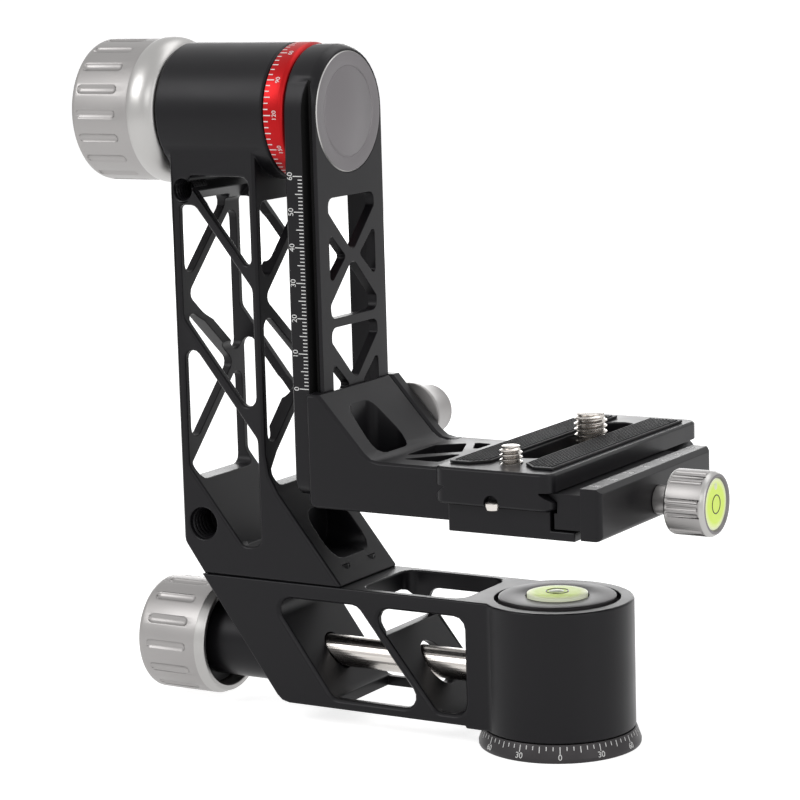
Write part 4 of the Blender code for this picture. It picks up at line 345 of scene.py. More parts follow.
def lathe(name, axis, centre, points, segments=128, closed=False):
    """Sweeps a half profile, in millimetres, round an axis through centre."""
    profile = [(depth * MM, radius * MM) for depth, radius in points]
    if closed:
        profile.append(profile[0])
    piece = drawn(name, profile, closed)
    apply_modifier(piece, "SCREW", axis="Z", angle=2 * pi, steps=segments,
                   render_steps=segments, use_merge_vertices=True, merge_threshold=WELD / 2)
    settle(piece, axis, [part * MM for part in centre])
    return soften(tidy_normals(piece))


def arc(depth, radius, reach, start, end, steps=5):
    """Points of a round corner about (depth, radius), from one angle to another in degrees."""
    return [(depth + reach * cos(radians(start + (end - start) * k / steps)),
             radius + reach * sin(radians(start + (end - start) * k / steps)))
            for k in range(steps + 1)]


# %% [markdown]
# ## The graduated base and the caps
#
# The base ring is wider at its foot, so its scale faces a little upwards and can be read from
# above. The CAD ring has fewer sides, which is right for physics but would leave the printed
# marks floating over its flats, so the scene turns it again with many more. The red scale ring
# and the two caps are made the same way.

# %% Turn the base ring and the red ring
SLOPE_FOOT, SLOPE_TOP = (1.35, 22.78), (4.75, 21.58)
base = lathe("base_ring_turned", "Z", (0, 0),
             [(0.0, 7.0), (0.0, 22.4), (0.12, 22.68), (0.4, 22.83), (1.1, 22.83), SLOPE_FOOT,
              SLOPE_TOP, (4.97, 21.45), (4.97, 7.0)], closed=True)
# The base ring takes the paler black, which paints in the light that its upward slope catches.
mount(base, "base", [BLACK_WITH_PAINTED_LIGHT], ["base_ring"])

TILT = (0, 175.8)
RED_RING_RADIUS = 19.5
ring = lathe("scale_ring_turned", "X", TILT,
             [(-79.6, 12.2), (-79.6, 19.35), (-79.45, RED_RING_RADIUS), (-74.75, RED_RING_RADIUS),
              (-74.45, 19.38), (-73.5, 18.45), (-73.46, 18.2), (-73.46, 12.2)], closed=True)
mount(ring, "tilt_arm", [RED], ["scale_ring"])
print("base ring faces:", len(base.data.polygons), "red ring faces:", len(ring.data.polygons))

# %% Turn the two caps
cap = lathe("swing_cap_turned", "X", TILT,
            [(-64.35, 0.0), (-64.35, 17.05), (-63.62, 17.05), (-63.4, 16.8), (-63.4, 13.2),
             (-63.47, 13.05), (-63.64, 12.85), (-63.64, 12.75), (-63.47, 12.5), (-63.4, 12.4),
             (-63.4, 0.0)])
mount(cap, "tilt_arm", [GREY, POLISHED], ["swing_cap"])

pan_cap = lathe("pan_cap_turned", "Z", (0, 0),
                [(39.5, 0.0), (39.5, 16.5), (41.9, 16.5), (42.15, 16.3), (42.2, 16.1),
                 (42.2, 9.25), (42.05, 9.0), (41.7, 8.8), (40.6, 8.75), (40.6, 0.0)])
mount(pan_cap, "pan_arm", [BLACK_WITH_PAINTED_LIGHT], ["pan_cap"])


def paint_where(piece, index, chosen):
    """Gives a second material to the faces whose centre passes a test."""
    for face in piece.data.polygons:
        if chosen(face.center / MM):
            face.material_index = index


paint_where(cap, 1, lambda at: (at.yz - Vector(TILT)).length > 16.8 and at.x > -63.7)
print("tilt cap faces:", len(cap.data.polygons), "pan cap faces:", len(pan_cap.data.polygons))

# %% [markdown]
# ## Knobs with finger grooves
#
# The two silver lock knobs have oval grooves milled along them. A round-nosed bar is modelled
# once, copied round the knob, and taken away with a Boolean modifier. A fine bevel then rounds
# the rim of each groove, which is where the real knob shines. The nose next to the barrel is
# left bright from the lathe, so it gets its own material.

# %% Cutting tools


def carve(piece, tool, operation="DIFFERENCE"):
    """Takes a tool's shape out of a piece, and the tool with it."""
    tool.hide_render = True
    apply_modifier(piece, "BOOLEAN", operation=operation, object=tool, solver="EXACT")
    bpy.data.objects.remove(tool)


def stamped(master, places):
    """Copies a master to each place, each with its own mesh, and joins them into one piece."""
    copies = []
    for place in places:
        copy = master.copy()
        copy.data = master.data.copy()
        copy.matrix_world = place
        bpy.context.scene.collection.objects.link(copy)
        copies.append(copy)
    bpy.data.objects.remove(master)
    pick(*copies)
    bpy.ops.object.join()
    joined = bpy.context.object
    bpy.ops.object.transform_apply(location=True, rotation=True, scale=True)
    return joined


def turned_about(centre, angle):
    """A turn about the line along X through centre, in millimetres."""
    there = Matrix.Translation(Vector((0, *centre)) * MM)
    return there @ Matrix.Rotation(angle, 4, "X") @ there.inverted()


def around(centre, count):
    """Equal turns about that line, the first of them half a step from the top."""
    return [turned_about(centre, 2 * pi * (k + 0.5) / count) for k in range(count)]


def finger_grooves(knob, centre, low, high, away, nose, count):
    """Oval grooves round a knob on the X axis."""
    tip = [(low + nose - nose * cos(radians(a)), nose * sin(radians(a))) for a in (0, 25, 50, 70)]
    end = [(high - nose + nose * cos(radians(a)), nose * sin(radians(a))) for a in (70, 50, 25, 0)]
    bar = lathe("groove_bar", "X", (centre[0], centre[1] + away),
                tip + [(low + nose, nose), (high - nose, nose)] + end, 28)
    carve(knob, stamped(bar, around(centre, count)))
    apply_modifier(knob, "BEVEL", width=0.22 * MM, segments=3, limit_method="ANGLE",
                   angle_limit=radians(34), use_clamp_overlap=False)
    soften(knob, 34)


# %% Turn the tilt lock knob
bright_nose = [(-122.8 + 5.7 * sin(radians(a)), 17.5 + 3.7 * cos(radians(a)))
               for a in range(0, 91, 10)]
tilt_knob = lathe("tilt_knob_turned", "X", TILT,
                  [(-145.3, 0.0), (-145.3, 13.6), (-145.65, 14.1), (-145.7, 14.4),
                   (-145.7, 19.6), (-145.6, 19.95), (-145.25, 20.3), (-144.7, 20.52),
                   (-144.0, 20.65), (-126.0, 20.65), (-125.6, 20.7), (-125.2, 20.95),
                   (-124.6, 21.12), (-123.6, 21.2)] + bright_nose
                  + [(-117.0, 17.2), (-117.0, 4.1), (-135.6, 4.1), (-135.6, 0.0)])
finger_grooves(tilt_knob, TILT, -144.3, -129.4, 21.9, 1.9, 18)
mount(tilt_knob, "tilt_lock", [SILVER, POLISHED], ["tilt_knob"])
paint_where(tilt_knob, 1, lambda at: at.x > -125.7)
print("tilt knob:", len(tilt_knob.data.polygons), "faces")

# %% Turn the pan lock knob
PAN_LOCK = (0, 18.8)
pan_knob = lathe("pan_knob_turned", "X", PAN_LOCK,
                 [(-132.6, 0.0), (-132.6, 10.6), (-132.95, 11.1), (-133.0, 11.4), (-133.0, 14.8)]
                 + arc(-131.0, 14.9, 2.0, 180, 90, 6)
                 + [(-112.6, 16.9), (-112.1, 16.83), (-111.9, 16.65), (-109.9, 16.0),
                    (-109.5, 15.75), (-109.5, 14.6), (-109.8, 14.35), (-116.5, 14.3),
                    (-116.5, 4.6), (-126.0, 4.6), (-126.0, 0.0)])
finger_grooves(pan_knob, PAN_LOCK, -130.0, -115.0, 18.15, 1.9, 14)
mount(pan_knob, "pan_lock", [SILVER, POLISHED], ["pan_knob"])
paint_where(pan_knob, 1, lambda at: at.x > -112.3 and (at.yz - Vector(PAN_LOCK)).length > 14.5)
print("pan knob:", len(pan_knob.data.polygons), "faces")

# %% [markdown]
# ## The clamp knob
#
# This smaller knob is gripped between finger and thumb. It has six groups of three narrow flutes
# with wide plain lands between them, polished bevels at both ends and a level let into its face.
# One thin bar is copied three times for a group of flutes, and the group goes round six times.

# %% Turn and flute the clamp knob
CLAMP_KNOB = (0, 71.6)
FLUTE_GROUPS, FLUTE_STEP = 6, 12.5
clamp_knob = lathe("clamp_knob_turned", "X", CLAMP_KNOB,
                   [(31.5, 1.6), (31.5, 4.0), (36.2, 4.0), (36.5, 4.4), (36.9, 6.4),
                    (36.9, 8.4), (37.1, 8.75), (37.4, 8.9), (37.7, 8.96), (47.5, 8.96),
                    (47.9, 8.9), (48.6, 8.45), (48.9, 8.15), (49.0, 7.9), (48.95, 7.45),
                    (48.4, 7.1), (45.6, 7.1), (45.6, 1.6)], closed=True)
flute = lathe("flute_bar", "X", (CLAMP_KNOB[0], CLAMP_KNOB[1] + 9.25),
              [(37.5, 0.0), (37.6, 0.5), (37.9, 0.74), (46.8, 0.74), (47.1, 0.5), (47.2, 0.0)],
              16)
carve(clamp_knob, stamped(flute, [turned_about(CLAMP_KNOB, radians(FLUTE_STEP * step)) @ group
                                  for group in around(CLAMP_KNOB, FLUTE_GROUPS)
                                  for step in (-1, 0, 1)]))
apply_modifier(clamp_knob, "BEVEL", width=0.1 * MM, segments=2, limit_method="ANGLE",
               angle_limit=radians(35), use_clamp_overlap=False)
soften(clamp_knob, 35)
mount(clamp_knob, "plate_lock", [SILVER, POLISHED, GREY], ["clamp_knob"])
paint_where(clamp_knob, 1, lambda at: at.x > 47.6 or 36.7 < at.x < 37.7)
paint_where(clamp_knob, 2, lambda at: at.x > 48.3 and (at.yz - Vector(CLAMP_KNOB)).length < 8.2)
print("clamp knob:", len(clamp_knob.data.polygons), "faces")

# %% [markdown]
# ## The bracket's lock knob
#
# The knob behind the bracket is a plain tapered button with a rounded crown. It is one lathe
# profile, with a shallow dish in the crown.

# %% Turn the bracket knob
BRACKET_KNOB = (-59.5, 85.5)
bracket_knob = lathe("bracket_knob_turned", "Y", BRACKET_KNOB,
                     [(22.52, 2.1), (22.52, 9.1), (22.7, 9.5), (23.1, 9.6), (24.0, 9.4),
                      (33.6, 7.3)] + arc(33.7, 5.1, 2.3, 80, 10, 5)
                     + [(36.1, 4.6), (35.7, 3.8), (35.6, 0.0), (34.3, 0.0), (34.3, 2.1)])
mount(bracket_knob, "rail_lock", [SILVER], ["bracket_knob"])
print("bracket knob:", len(bracket_knob.data.polygons), "faces")

# %% [markdown]
# ## Screw threads
#
# A thread is a tooth that climbs one pitch in each turn. The tooth's section is drawn as a small
# closed loop, and the Screw modifier sweeps it upwards. The open ends are then filled. The same
# helper cuts outside threads on the camera screws and inside threads in the tapped holes.

# %% A thread helper
THREAD_STEPS = 40


def thread(name, axis, centre, start, turns, pitch, root, crest):
    """A helical tooth between a root and a crest radius, in millimetres."""
    half, land = 0.46 * pitch, 0.07 * pitch
    tooth = [(start - half, root), (start - land, crest), (start + land, crest),
             (start + half, root), (start - half, root)]
    piece = drawn(name, [(depth * MM, radius * MM) for depth, radius in tooth], closed=True)
    apply_modifier(piece, "SCREW", axis="Z", angle=2 * pi, steps=THREAD_STEPS,
                   render_steps=THREAD_STEPS, iterations=turns, screw_offset=pitch * MM)
    bpy.ops.object.mode_set(mode="EDIT")
    bpy.ops.mesh.select_all(action="SELECT")
    bpy.ops.mesh.fill_holes(sides=6)
    bpy.ops.object.mode_set(mode="OBJECT")
    settle(piece, axis, [part * MM for part in centre])
    return soften(tidy_normals(piece), 50)


# %% [markdown]
# ## The two camera screws
#
# A small and a large screw stand up out of the plate, for the two threads that cameras have. Each
# is a turned shank with a coin slot in its head, cut with a cube, and a thread round it. A lathe
# profile that ends in a chamfer keeps only the part of the thread inside it, as a real chamfer
# would.

# %% Make the camera screws
SCREW_FOOT_Z, SCREW_SEAT_Z = 74.7, 79.44
THREAD_LOW_Z, ENVELOPE_LOW_Z = 80.6, 78.0
SLOT_WIDTH, SLOT_HEIGHT = 1.3, 2.4


def camera_screw(name, y, radius, head, top, pitch, body):
    """A slotted screw whose thread stands up out of the plate."""
    core = radius - 0.58 * pitch
    shank = lathe(f"{name}_turned", "Z", (0, y),
                  [(SCREW_FOOT_Z, 0.0), (SCREW_FOOT_Z, head - 0.3), (75.0, head), (79.2, head),
                   (SCREW_SEAT_Z, head - 0.2), (SCREW_SEAT_Z, core), (top - 0.5, core),
                   (top - 0.12, radius - 0.62), (top, radius - 0.8), (top, 0.0)], 64)
    pick()
    bpy.ops.mesh.primitive_cube_add(size=1, location=(0, y * MM, SCREW_FOOT_Z * MM))
    slot = bpy.context.object
    slot.scale = (2.4 * head * MM, SLOT_WIDTH * MM, SLOT_HEIGHT * MM)
    pick(slot)
    bpy.ops.object.transform_apply(location=True, rotation=True, scale=True)
    carve(shank, slot)
    turns = int((top - THREAD_LOW_Z) / pitch)
    tooth = thread("tooth", "Z", (0, y), top - 0.75 - turns * pitch, turns, pitch,
                   core - 0.15, radius)
    envelope = lathe("envelope", "Z", (0, y),
                     [(ENVELOPE_LOW_Z, 0.0), (ENVELOPE_LOW_Z, radius + 1),
                      (top - 0.9, radius + 1), (top - 0.85, radius),
                      (top - 0.15, radius - 0.72), (top - 0.1, 0.0)], 64)
    carve(tooth, envelope, "INTERSECT")
    pick(tooth, shank)
    bpy.ops.object.join()
    soften(shank, 40)
    print(name, len(shank.data.polygons), "faces")
    mount(shank, body, [STEEL], [name])


camera_screw("small_camera_screw", -25.0, 3.1, 5.0, 88.6, 1.27, "small_screw")
camera_screw("large_camera_screw", 22.0, 4.7, 6.8, 90.1, 1.6, "large_screw")

# %% [markdown]
# ## The stop screw
#
# A small domed screw under the plate's front edge keeps the plate from sliding out of the clamp.
# Its whole shape is one short profile, so the lathe makes it in one go.

# %% Turn the stop screw
stop = lathe("stop_screw_turned", "Z", (0.4, -36.4),
             [(73.0, 0.0), (73.0, 1.5), (73.15, 1.75), (74.2, 2.1), (74.9, 2.05), (75.25, 1.6),
              (75.4, 0.9), (75.4, 0.0)], 48)
mount(stop, "plate", [STEEL], ["stop_screw_1"])
print("stop screw:", len(stop.data.polygons), "faces")

# %% [markdown]
# ## The tapped holes
#
# Two holes in the column take accessories, and the bush in the base takes the tripod's screw.
# The CAD bores are plain. A thread whose root lies in the wall and whose crest points inwards
# makes each of them a tapped hole, with no cut in the CAD part.

# %% Thread the holes
holes = [("small_hole_thread", "Y", (-110.5, 154.0), -14.8, 5, 1.27, 3.25, 2.75),
         ("large_hole_thread", "Y", (-107.8, 56.6), -14.6, 5, 1.6, 4.9, 4.2)]
for hole in holes:
    mount(thread(*hole), "pan_arm", [BLACK])
mount(thread("tripod_thread", "Z", (0, 0), 1.3, 6, 1.6, 4.85, 4.2), "base", [BRASS])
print("threads cut in", len(holes) + 1, "holes")

# %% [markdown]
# ## Rubber grip strips
#
# Two rubber strips keep the camera from twisting on the plate. Each is a thin bar whose inner
# front corner is cut off, with a top moulded in rows of small points. One point is a low
# four-sided cone, and two Array modifiers lay it out along and across the strip. Those that would
# stand past the cut corner are deleted. Real points catch the light where a bump would not.

# %% Mould the strips
STRIP_FRONT_Y, STRIP_BACK_Y = -31.0, 49.5
STRIP_FOOT_Z, STRIP_TOP_Z = 83.79, 84.5
CUT_CORNER = 4.5
POINT_FOOT, POINT_TIP, POINT_HEIGHT, POINT_MIDDLE_Z = 0.68, 0.26, 0.42, 84.57
POINT_PITCH, POINTS_ACROSS, POINTS_ALONG = 1.02, 9, 76


def grip_strip(side, low_x, high_x):
    """A rubber strip with rows of points and its inner front corner cut off."""
    low = Vector((low_x, STRIP_FRONT_Y, STRIP_FOOT_Z))
    high = Vector((high_x, STRIP_BACK_Y, STRIP_TOP_Z))
    pick()
    bpy.ops.mesh.primitive_cube_add(size=1, location=(low + high) / 2 * MM)
    strip = bpy.context.object
    strip.name = f"grip_strip_{side}_moulded"
    strip.scale = (high - low) * MM
    bpy.ops.object.transform_apply(location=True, rotation=True, scale=True)
    bpy.ops.object.mode_set(mode="EDIT")
    bpy.ops.mesh.select_mode(type="EDGE")
    bpy.ops.mesh.select_all(action="DESELECT")
    bpy.ops.object.mode_set(mode="OBJECT")
    inner = low_x if low_x > 0 else high_x
    for edge in strip.data.edges:
        ends = [strip.data.vertices[index].co / MM for index in edge.vertices]
        edge.select = all(abs(end.x - inner) < 0.1 and end.y < STRIP_FRONT_Y + 1 for end in ends)
    bpy.ops.object.mode_set(mode="EDIT")
    bpy.ops.mesh.bevel(offset=CUT_CORNER * MM, segments=1)
    bpy.ops.object.mode_set(mode="OBJECT")
    apply_modifier(strip, "BEVEL", width=0.12 * MM, segments=2, limit_method="ANGLE",
                   angle_limit=radians(40))
    first_x = (low_x + high_x) / 2 - POINT_PITCH * (POINTS_ACROSS - 1) / 2
    first_y = (STRIP_FRONT_Y + STRIP_BACK_Y) / 2 - POINT_PITCH * (POINTS_ALONG - 1) / 2
    bpy.ops.mesh.primitive_cone_add(
        vertices=4, radius1=POINT_FOOT * MM, radius2=POINT_TIP * MM, depth=POINT_HEIGHT * MM,
        location=Vector((first_x, first_y, POINT_MIDDLE_Z)) * MM)
    point = bpy.context.object
    for count, step in ((POINTS_ACROSS, (POINT_PITCH * MM, 0, 0)),
                        (POINTS_ALONG, (0, POINT_PITCH * MM, 0))):
        apply_modifier(point, "ARRAY", count=count, use_relative_offset=False,
                       use_constant_offset=True, constant_offset_displace=step)
    bpy.ops.object.transform_apply(location=True, rotation=True, scale=True)
    bpy.ops.object.mode_set(mode="EDIT")
    bpy.ops.mesh.select_all(action="DESELECT")
    bpy.ops.object.mode_set(mode="OBJECT")
    for vertex in point.data.vertices:
        inset = abs(vertex.co.x / MM - inner) + vertex.co.y / MM - STRIP_FRONT_Y
        vertex.select = inset < CUT_CORNER + 0.1
    bpy.ops.object.mode_set(mode="EDIT")
    bpy.ops.mesh.select_mode(type="VERT")
    bpy.ops.mesh.select_linked()
    bpy.ops.mesh.delete(type="VERT")
    bpy.ops.object.mode_set(mode="OBJECT")
    pick(point, strip)
    bpy.ops.object.join()
    print(strip.name, len(strip.data.polygons), "faces")
    mount(strip, "plate", [RUBBER], [f"grip_strip_{side}"])


grip_strip("left", -15.5, -5.3)
grip_strip("right", 5.3, 15.5)

# %% [markdown]
# ## Bullseye levels
#
# A bullseye level is a small vial of yellow-green liquid under a clear lens, with a printed
# circle and a bubble. The liquid is palest at the rim, and it looks brighter than paint. A round
# gradient on Object coordinates gives the pale rim, and a little emission is a painted glow for
# the light that the liquid gathers, under a thin clear coat for the lens. The circle is a thin
# torus and the bubble a flattened sphere, so both hold their shape from every side.

# %% The liquid's material
LIQUID_PAINTED_GLOW = 0.22


def liquid(name, centre, reach):
    """Yellow-green that turns paler towards the rim of the vial, with a painted glow of emission.
    """
    material = surface(name, (0.60, 0.78, 0.10), 0.0, 0.50, 0.01, bump=0.0, coat=0.15)
    nodes, links = material.node_tree.nodes, material.node_tree.links
    shader = nodes["Principled BSDF"]
    place = nodes.new("ShaderNodeTexCoord")
    move = nodes.new("ShaderNodeMapping")
    move.vector_type = "TEXTURE"
    move.inputs["Location"].default_value = Vector(centre) * MM
    move.inputs["Scale"].default_value = Vector((reach, reach, reach)) * MM
    round_about = nodes.new("ShaderNodeTexGradient")
    round_about.gradient_type = "SPHERICAL"
    ramp = nodes.new("ShaderNodeValToRGB")
    ramp.color_ramp.elements[0].position = 0.0
    ramp.color_ramp.elements[0].color = (0.88, 0.92, 0.72, 1)
    ramp.color_ramp.elements[1].position = 0.30
    ramp.color_ramp.elements[1].color = (0.66, 0.84, 0.12, 1)
    middle = ramp.color_ramp.elements.new(0.14)
    middle.color = (0.80, 0.90, 0.40, 1)
    links.new(place.outputs["Object"], move.inputs["Vector"])
    links.new(move.outputs["Vector"], round_about.inputs["Vector"])
    links.new(round_about.outputs["Fac"], ramp.inputs["Fac"])
    links.new(ramp.outputs["Color"], shader.inputs["Base Color"])
    # Painted glow: the liquid's colour also drives a weak emission, with no lamp behind it.
    links.new(ramp.outputs["Color"], shader.inputs["Emission Color"])
    shader.inputs["Emission Strength"].default_value = LIQUID_PAINTED_GLOW
    return material


BUBBLE = surface("bubble", (0.86, 0.93, 0.62), 0.0, 0.40, 0.01, bump=0.0, coat=0.2)
INK = surface("black_print", (0.006, 0.006, 0.006), 0.0, 0.30, 0.02, bump=0.0)
print(len(bpy.data.materials), "materials so far")

# %% Build the two levels
LENS_RISE = 0.35
DOME_STEPS = 6


def bullseye(name, axis, centre, face, radius, depth, circle, bubble, shift, body):
    """A vial whose lens faces along an axis, with its printed circle and bubble."""
    quarter = [radians(90 * k / DOME_STEPS) for k in range(DOME_STEPS, -1, -1)]
    dome = [(face - LENS_RISE + LENS_RISE * cos(a), radius * sin(a)) for a in quarter]
    vial = lathe(f"{name}_vial", axis, centre,
                 [(face - depth, 0.0), (face - depth, radius)] + dome, 96)
    top_centre = {"X": (face, *centre), "Z": (*centre, face)}[axis]
    mount(vial, body,
          [liquid(f"{name}_liquid", top_centre, radius * 1.02)], [name])
    drop = LENS_RISE * (1 - cos(radians(90 * circle / radius)))
    pick()
    bpy.ops.mesh.primitive_torus_add(major_radius=circle * MM, minor_radius=0.16 * MM,
                                     major_segments=64, minor_segments=8,
                                     location=(0, 0, (face - drop * 0.6) * MM))
    printed = bpy.context.object
    printed.name = f"{name}_circle"
    bpy.ops.object.transform_apply(location=True, rotation=True, scale=True)
    mount(soften(settle(printed, axis, [part * MM for part in centre])), body,
          [INK])
    bpy.ops.mesh.primitive_uv_sphere_add(segments=32, ring_count=16, radius=bubble * MM)
    air = bpy.context.object
    air.name = f"{name}_bubble"
    air.scale = (1, 1, 0.16)
    air.location = (-shift * MM, 0, (face - 0.08 - 0.02 * shift) * MM)
    bpy.ops.object.transform_apply(location=True, rotation=True, scale=True)
    mount(soften(settle(air, axis, [part * MM for part in centre])), body,
          [BUBBLE])
    print(name, len(vial.data.polygons), "faces in the vial")


bullseye("pan_level", "Z", (0, 0), 43.2, 8.5, 2.6, 3.1, 2.2, 0.3, "pan_arm")
bullseye("knob_level", "X", CLAMP_KNOB, 48.65, 7.0, 2.9, 2.5, 1.1, 4.8, "plate_lock")

# %% [markdown]
# ## Printed scales
#
# The scales are engraved and filled with white. Each mark is a thin bar laid on the metal with a
# hair of thickness, which looks the same and can't flicker against the surface below. A bar is
# modelled once, stretched to the lengths of the marks and copied to each place. Numbers are text
# turned to mesh and set with the same kind of frame: an origin, a direction to read in and a
# direction up.

# %% Frames, bars and numbers
MARK_THICKNESS = 0.05
CAPITAL_SHARE = 0.70


def at_frame(origin, right, up):
    """The place of a mark: where it is, which way it reads and which way is up."""
    right, up = Vector(right).normalized(), Vector(up).normalized()
    turn = Matrix((right, up, right.cross(up))).transposed().to_4x4()
    return Matrix.Translation(Vector(origin) * MM) @ turn


def bars(places):
    """Joins flat bars at (frame, length, width) places; each hangs down from its frame."""
    pick()
    bpy.ops.mesh.primitive_cube_add(size=1, location=(0, -0.5, 0))
    bar = bpy.context.object
    bpy.ops.object.transform_apply(location=True, rotation=True, scale=True)
    return stamped(bar, [frame_at @ Matrix.Diagonal((width * MM, length * MM,
                                                     MARK_THICKNESS * MM, 1))
                         for frame_at, length, width in places])


def by_rank(step, whole, half, lengths):
    """The length of a mark: the first on whole steps, the second on half ones, else the third."""
    if step % whole == 0:
        return lengths[0]
    return lengths[1] if step % half == 0 else lengths[2]


def number(text, height, place):
    """A number in plain type, as a thin mesh at its place."""
    pick()
    bpy.ops.object.text_add()
    label = bpy.context.object
    label.data.body = text
    label.data.size = height / CAPITAL_SHARE * MM
    label.data.extrude = MARK_THICKNESS / 2 * MM
    label.data.align_x = "CENTER"
    label.data.align_y = "CENTER"
    bpy.ops.object.convert(target="MESH")
    label = bpy.context.object
    label.matrix_world = place
    bpy.ops.object.transform_apply(location=True, rotation=True, scale=True)
    return label


def scale_piece(name, pieces, body):
    """Joins bars and numbers into one printed scale."""
    pick(*pieces)
    bpy.ops.object.join()
    piece = bpy.context.object
    piece.name = name
    print(name, len(piece.data.polygons), "faces")
    mount(piece, body, [WHITE])


# %% [markdown]
# ### The pan scale
#
# The base has a mark every five degrees and a number every thirty, counted both ways from zero.
# The ring's side leans in, so the frames lean with it: their up direction runs along the slope.

# %% Print the pan scale
ZERO_ANGLE = -62.4
LEAN_Z, LEAN_R = SLOPE_TOP[0] - SLOPE_FOOT[0], SLOPE_TOP[1] - SLOPE_FOOT[1]


def on_base(degrees_from_zero, height):
    """A frame on the leaning side of the base ring, at a height above the table."""
    turn = radians(ZERO_ANGLE + degrees_from_zero)
    radius = SLOPE_FOOT[1] + (height - SLOPE_FOOT[0]) * LEAN_R / LEAN_Z
    out = Vector((cos(turn), sin(turn), 0))
    return at_frame(out * radius + Vector((0, 0, height)), (-sin(turn), cos(turn), 0),
                    out * LEAN_R + Vector((0, 0, LEAN_Z)))


pieces = [bars([(on_base(turn, 4.55), by_rank(turn, 30, 15, (2.0, 1.75, 1.1)), 0.24)
                for turn in range(0, 360, 5)])]
for turn in range(0, 360, 30):
    pieces.append(number(str(min(turn, 360 - turn)), 1.62, on_base(turn, 1.75)))
scale_piece("pan_scale", pieces, "base")

# %% [markdown]
# ### The tilt scale
#
# The red ring carries the tilt angle. Its numbers are turned a quarter, so that they read along
# the ring, and its marks start at the edge next to the barrel.

# %% Print the tilt scale


def on_ring(turn, x):
    """A frame on the red ring; turn is measured from the top towards the front."""
    a = radians(turn)
    out = Vector((0, -sin(a), cos(a)))
    origin = Vector((x, 0, TILT[1])) + out * RED_RING_RADIUS
    return at_frame(origin, (0, cos(a), sin(a)), (-1, 0, 0))


pieces = [bars([(on_ring(turn, -79.4), by_rank(turn, 30, 15, (2.3, 1.9, 1.4)), 0.30)
                for turn in range(0, 360, 5)])]
for turn in range(0, 360, 30):
    pieces.append(number(str((turn + 30) % 360), 1.35, on_ring(turn, -75.85)))
scale_piece("tilt_scale", pieces, "tilt_arm")

# %% [markdown]
# ### The height scale
#
# The edge of the swing arm is marked in millimetres, so that the platform can be set back to the
# height at which a lens balances. Longer bars mark the fives and tens.

# %% Print the height scale
ARM_FRONT_Y, HEIGHT_ZERO_Z = -19.0, 98.94
pieces = [bars([(at_frame((-67.65, ARM_FRONT_Y, HEIGHT_ZERO_Z + step), (0, 0, -1), (1, 0, 0)),
                 by_rank(step, 10, 5, (3.0, 2.4, 1.4)), 0.26) for step in range(61)])]
for step in range(0, 61, 10):
    place = at_frame((-71.6, ARM_FRONT_Y, HEIGHT_ZERO_Z + step), (0, 0, 1), (-1, 0, 0))
    pieces.append(number(str(step), 1.65, place))
scale_piece("height_scale", pieces, "tilt_arm")

# %% [markdown]
# ### The jaw scale
#
# The clamp's moving jaw has small numbers every centimetre along its top, so that a plate can be
# put back where it was.

# %% Print the jaw scale
JAW_TOP_Z = 80.4
marks, pieces = [], []
for step in range(-3, 4):
    y = 10.0 * step
    marks.append((at_frame((26.0, y, JAW_TOP_Z), (0, -1, 0), (-1, 0, 0)), 1.0, 0.3))
    place = at_frame((28.3, y, JAW_TOP_Z), (0, 1, 0), (-1, 0, 0))
    pieces.append(number(str(abs(step) * 10), 1.5, place))
pieces.append(bars(marks))
scale_piece("jaw_scale", pieces, "plate_jaw")

# %% [markdown]
# ## Studio
#
# The head stands on a plain pale floor. The floor's own colour and a share of emission take it
# to white, so no extra light falls on the metal, and the contact shadow stays. The world is white
# to the camera and in reflections, and dimmer as a light. A Light Path node tells these rays
# apart, and a short helper reads it for the floor and for the world.

# %% A helper for what the camera, metal and glass see


def seen_directly(nodes, links):
    """One for rays that see the background: from the camera, off metal and through glass."""
    path = nodes.new("ShaderNodeLightPath")
    seen = path.outputs["Is Camera Ray"]
    for kind in ("Is Glossy Ray", "Is Transmission Ray"):
        either = nodes.new("ShaderNodeMath")
        either.operation = "MAXIMUM"
        links.new(seen, either.inputs[0])
        links.new(path.outputs[kind], either.inputs[1])
        seen = either.outputs["Value"]
    return seen


# %% The floor
FLOOR_SIZE, FLOOR_GAP = 60, 0.02
FLOOR_GLOW = 0.75
pick()
bpy.ops.mesh.primitive_plane_add(size=FLOOR_SIZE, location=(0, 0, cad_low.z - FLOOR_GAP * MM))
floor = bpy.context.object
floor.name = "studio_floor"
floor_white = bpy.data.materials.new("pale_floor")
floor_white.use_nodes = True
nodes, links = floor_white.node_tree.nodes, floor_white.node_tree.links
shader = nodes["Principled BSDF"]
shader.inputs["Base Color"].default_value = (0.80, 0.80, 0.80, 1)
shader.inputs["Roughness"].default_value = 0.9
shader.inputs["Specular IOR Level"].default_value = 0.1
shader.inputs["Emission Color"].default_value = (1, 1, 1, 1)
glow = nodes.new("ShaderNodeMath")
glow.operation = "MULTIPLY"
glow.inputs[1].default_value = FLOOR_GLOW
links.new(seen_directly(nodes, links), glow.inputs[0])
links.new(glow.outputs["Value"], shader.inputs["Emission Strength"])
dress(floor, floor_white)
print("floor at, mm:", round(floor.location.z / MM, 2))

# %% The world
WORLD_LIGHT = 0.35
world = bpy.data.worlds.new("studio_world")
bpy.context.scene.world = world
world.use_nodes = True
nodes, links = world.node_tree.nodes, world.node_tree.links
sky = nodes["Background"]
sky.inputs["Color"].default_value = (1, 1, 1, 1)
level = nodes.new("ShaderNodeMath")
level.operation = "MULTIPLY_ADD"
level.inputs[1].default_value = 1 - WORLD_LIGHT
level.inputs[2].default_value = WORLD_LIGHT
links.new(seen_directly(nodes, links), level.inputs[0])
links.new(level.outputs["Value"], sky.inputs["Strength"])
print("the world's strength as a light:", WORLD_LIGHT)

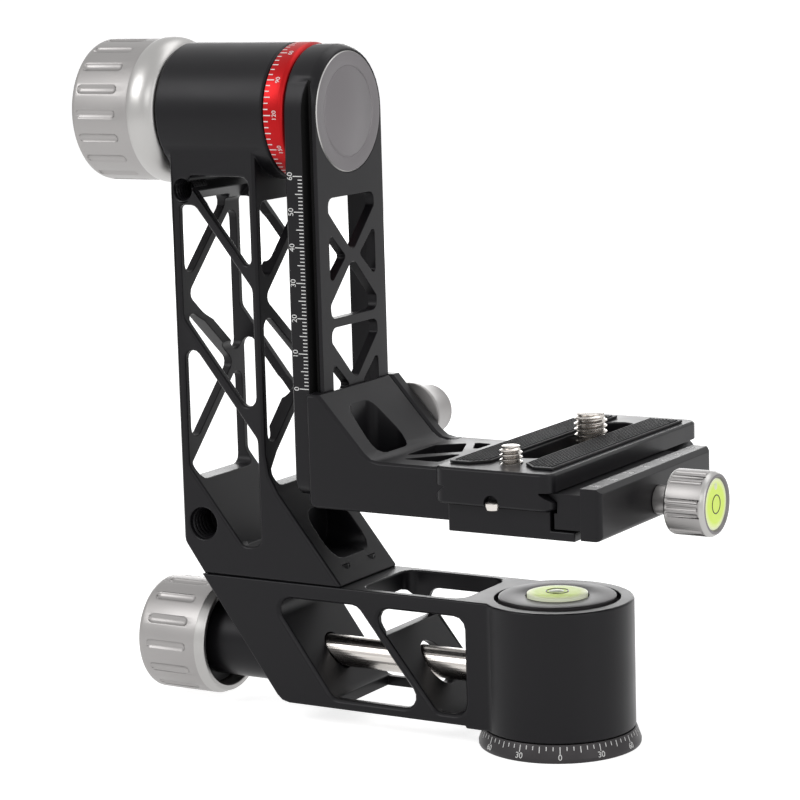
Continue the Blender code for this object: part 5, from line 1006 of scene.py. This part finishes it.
# %% [markdown]
# ## Soft boxes
#
# Soft light from large boxes suits metal, because a metal shows the lamp itself as a highlight.
# Boxes at the front, side and top draw the long highlights on barrels and knobs, and a wide one
# behind the head shines along the flat black tops. Their powers are low, so that each colour
# renders about as it is written.

# %% Set the soft boxes


def soft_box(name, place, aim, width, height, power):
    """A rectangular lamp that faces a point and doesn't show itself to the camera."""
    bpy.ops.object.light_add(type="AREA", location=place)
    lamp = bpy.context.object
    lamp.name = name
    lamp.data.shape = "RECTANGLE"
    lamp.data.size, lamp.data.size_y = width, height
    lamp.data.energy = power
    lamp.visible_camera = False
    lamp.rotation_euler = (Vector(aim) - Vector(place)).to_track_quat("-Z", "Y").to_euler()
    print(name, power, "W")


middle = (cad_low + cad_high) / 2
soft_box("key_box", (-0.55, -0.75, 0.75), middle, 0.5, 0.5, 4)
soft_box("side_box", (0.95, -0.25, 0.35), middle, 0.35, 0.8, 1.8)
soft_box("top_box", (0.1, 0.35, 0.95), middle, 0.9, 0.4, 2)
soft_box("back_box", (-0.80, 1.28, 0.30), middle, 1.6, 0.35, 6)
soft_box("front_box", (0.5, -0.95, 0.66), middle, 0.6, 0.3, 1.6)

# %% [markdown]
# ## Camera
#
# The photograph was taken from the front right, a little above the head, with a long lens. The
# camera's direction is written as a heading, a height and a slight roll, and its place as a
# distance back from the point that it aims at.

# %% Set the camera
heading, height_angle, roll = radians(30.940), radians(9.308), radians(-1.626)
aim_right, aim_height, distance = -42.241, 98.261, 799.648
level_right = Vector((cos(heading), sin(heading), 0))
forward = Vector((-sin(heading) * cos(height_angle), cos(heading) * cos(height_angle),
                  -sin(height_angle)))
above = level_right.cross(forward)
right = level_right * cos(roll) + above * sin(roll)
up = above * cos(roll) - level_right * sin(roll)
target = level_right * (aim_right * MM) + Vector((0, 0, aim_height * MM))
bpy.ops.object.camera_add()
camera = bpy.context.object
camera.matrix_world = (Matrix.Translation(target - forward * distance * MM)
                       @ Matrix((right, up, -forward)).transposed().to_4x4())
camera.data.lens = 130.79
camera.data.sensor_width = 36
camera.data.clip_start, camera.data.clip_end = 0.01, 100
bpy.context.scene.camera = camera
bpy.context.scene.view_settings.view_transform = "Standard"
print("camera at, mm:", [round(part / MM) for part in camera.matrix_world.translation])
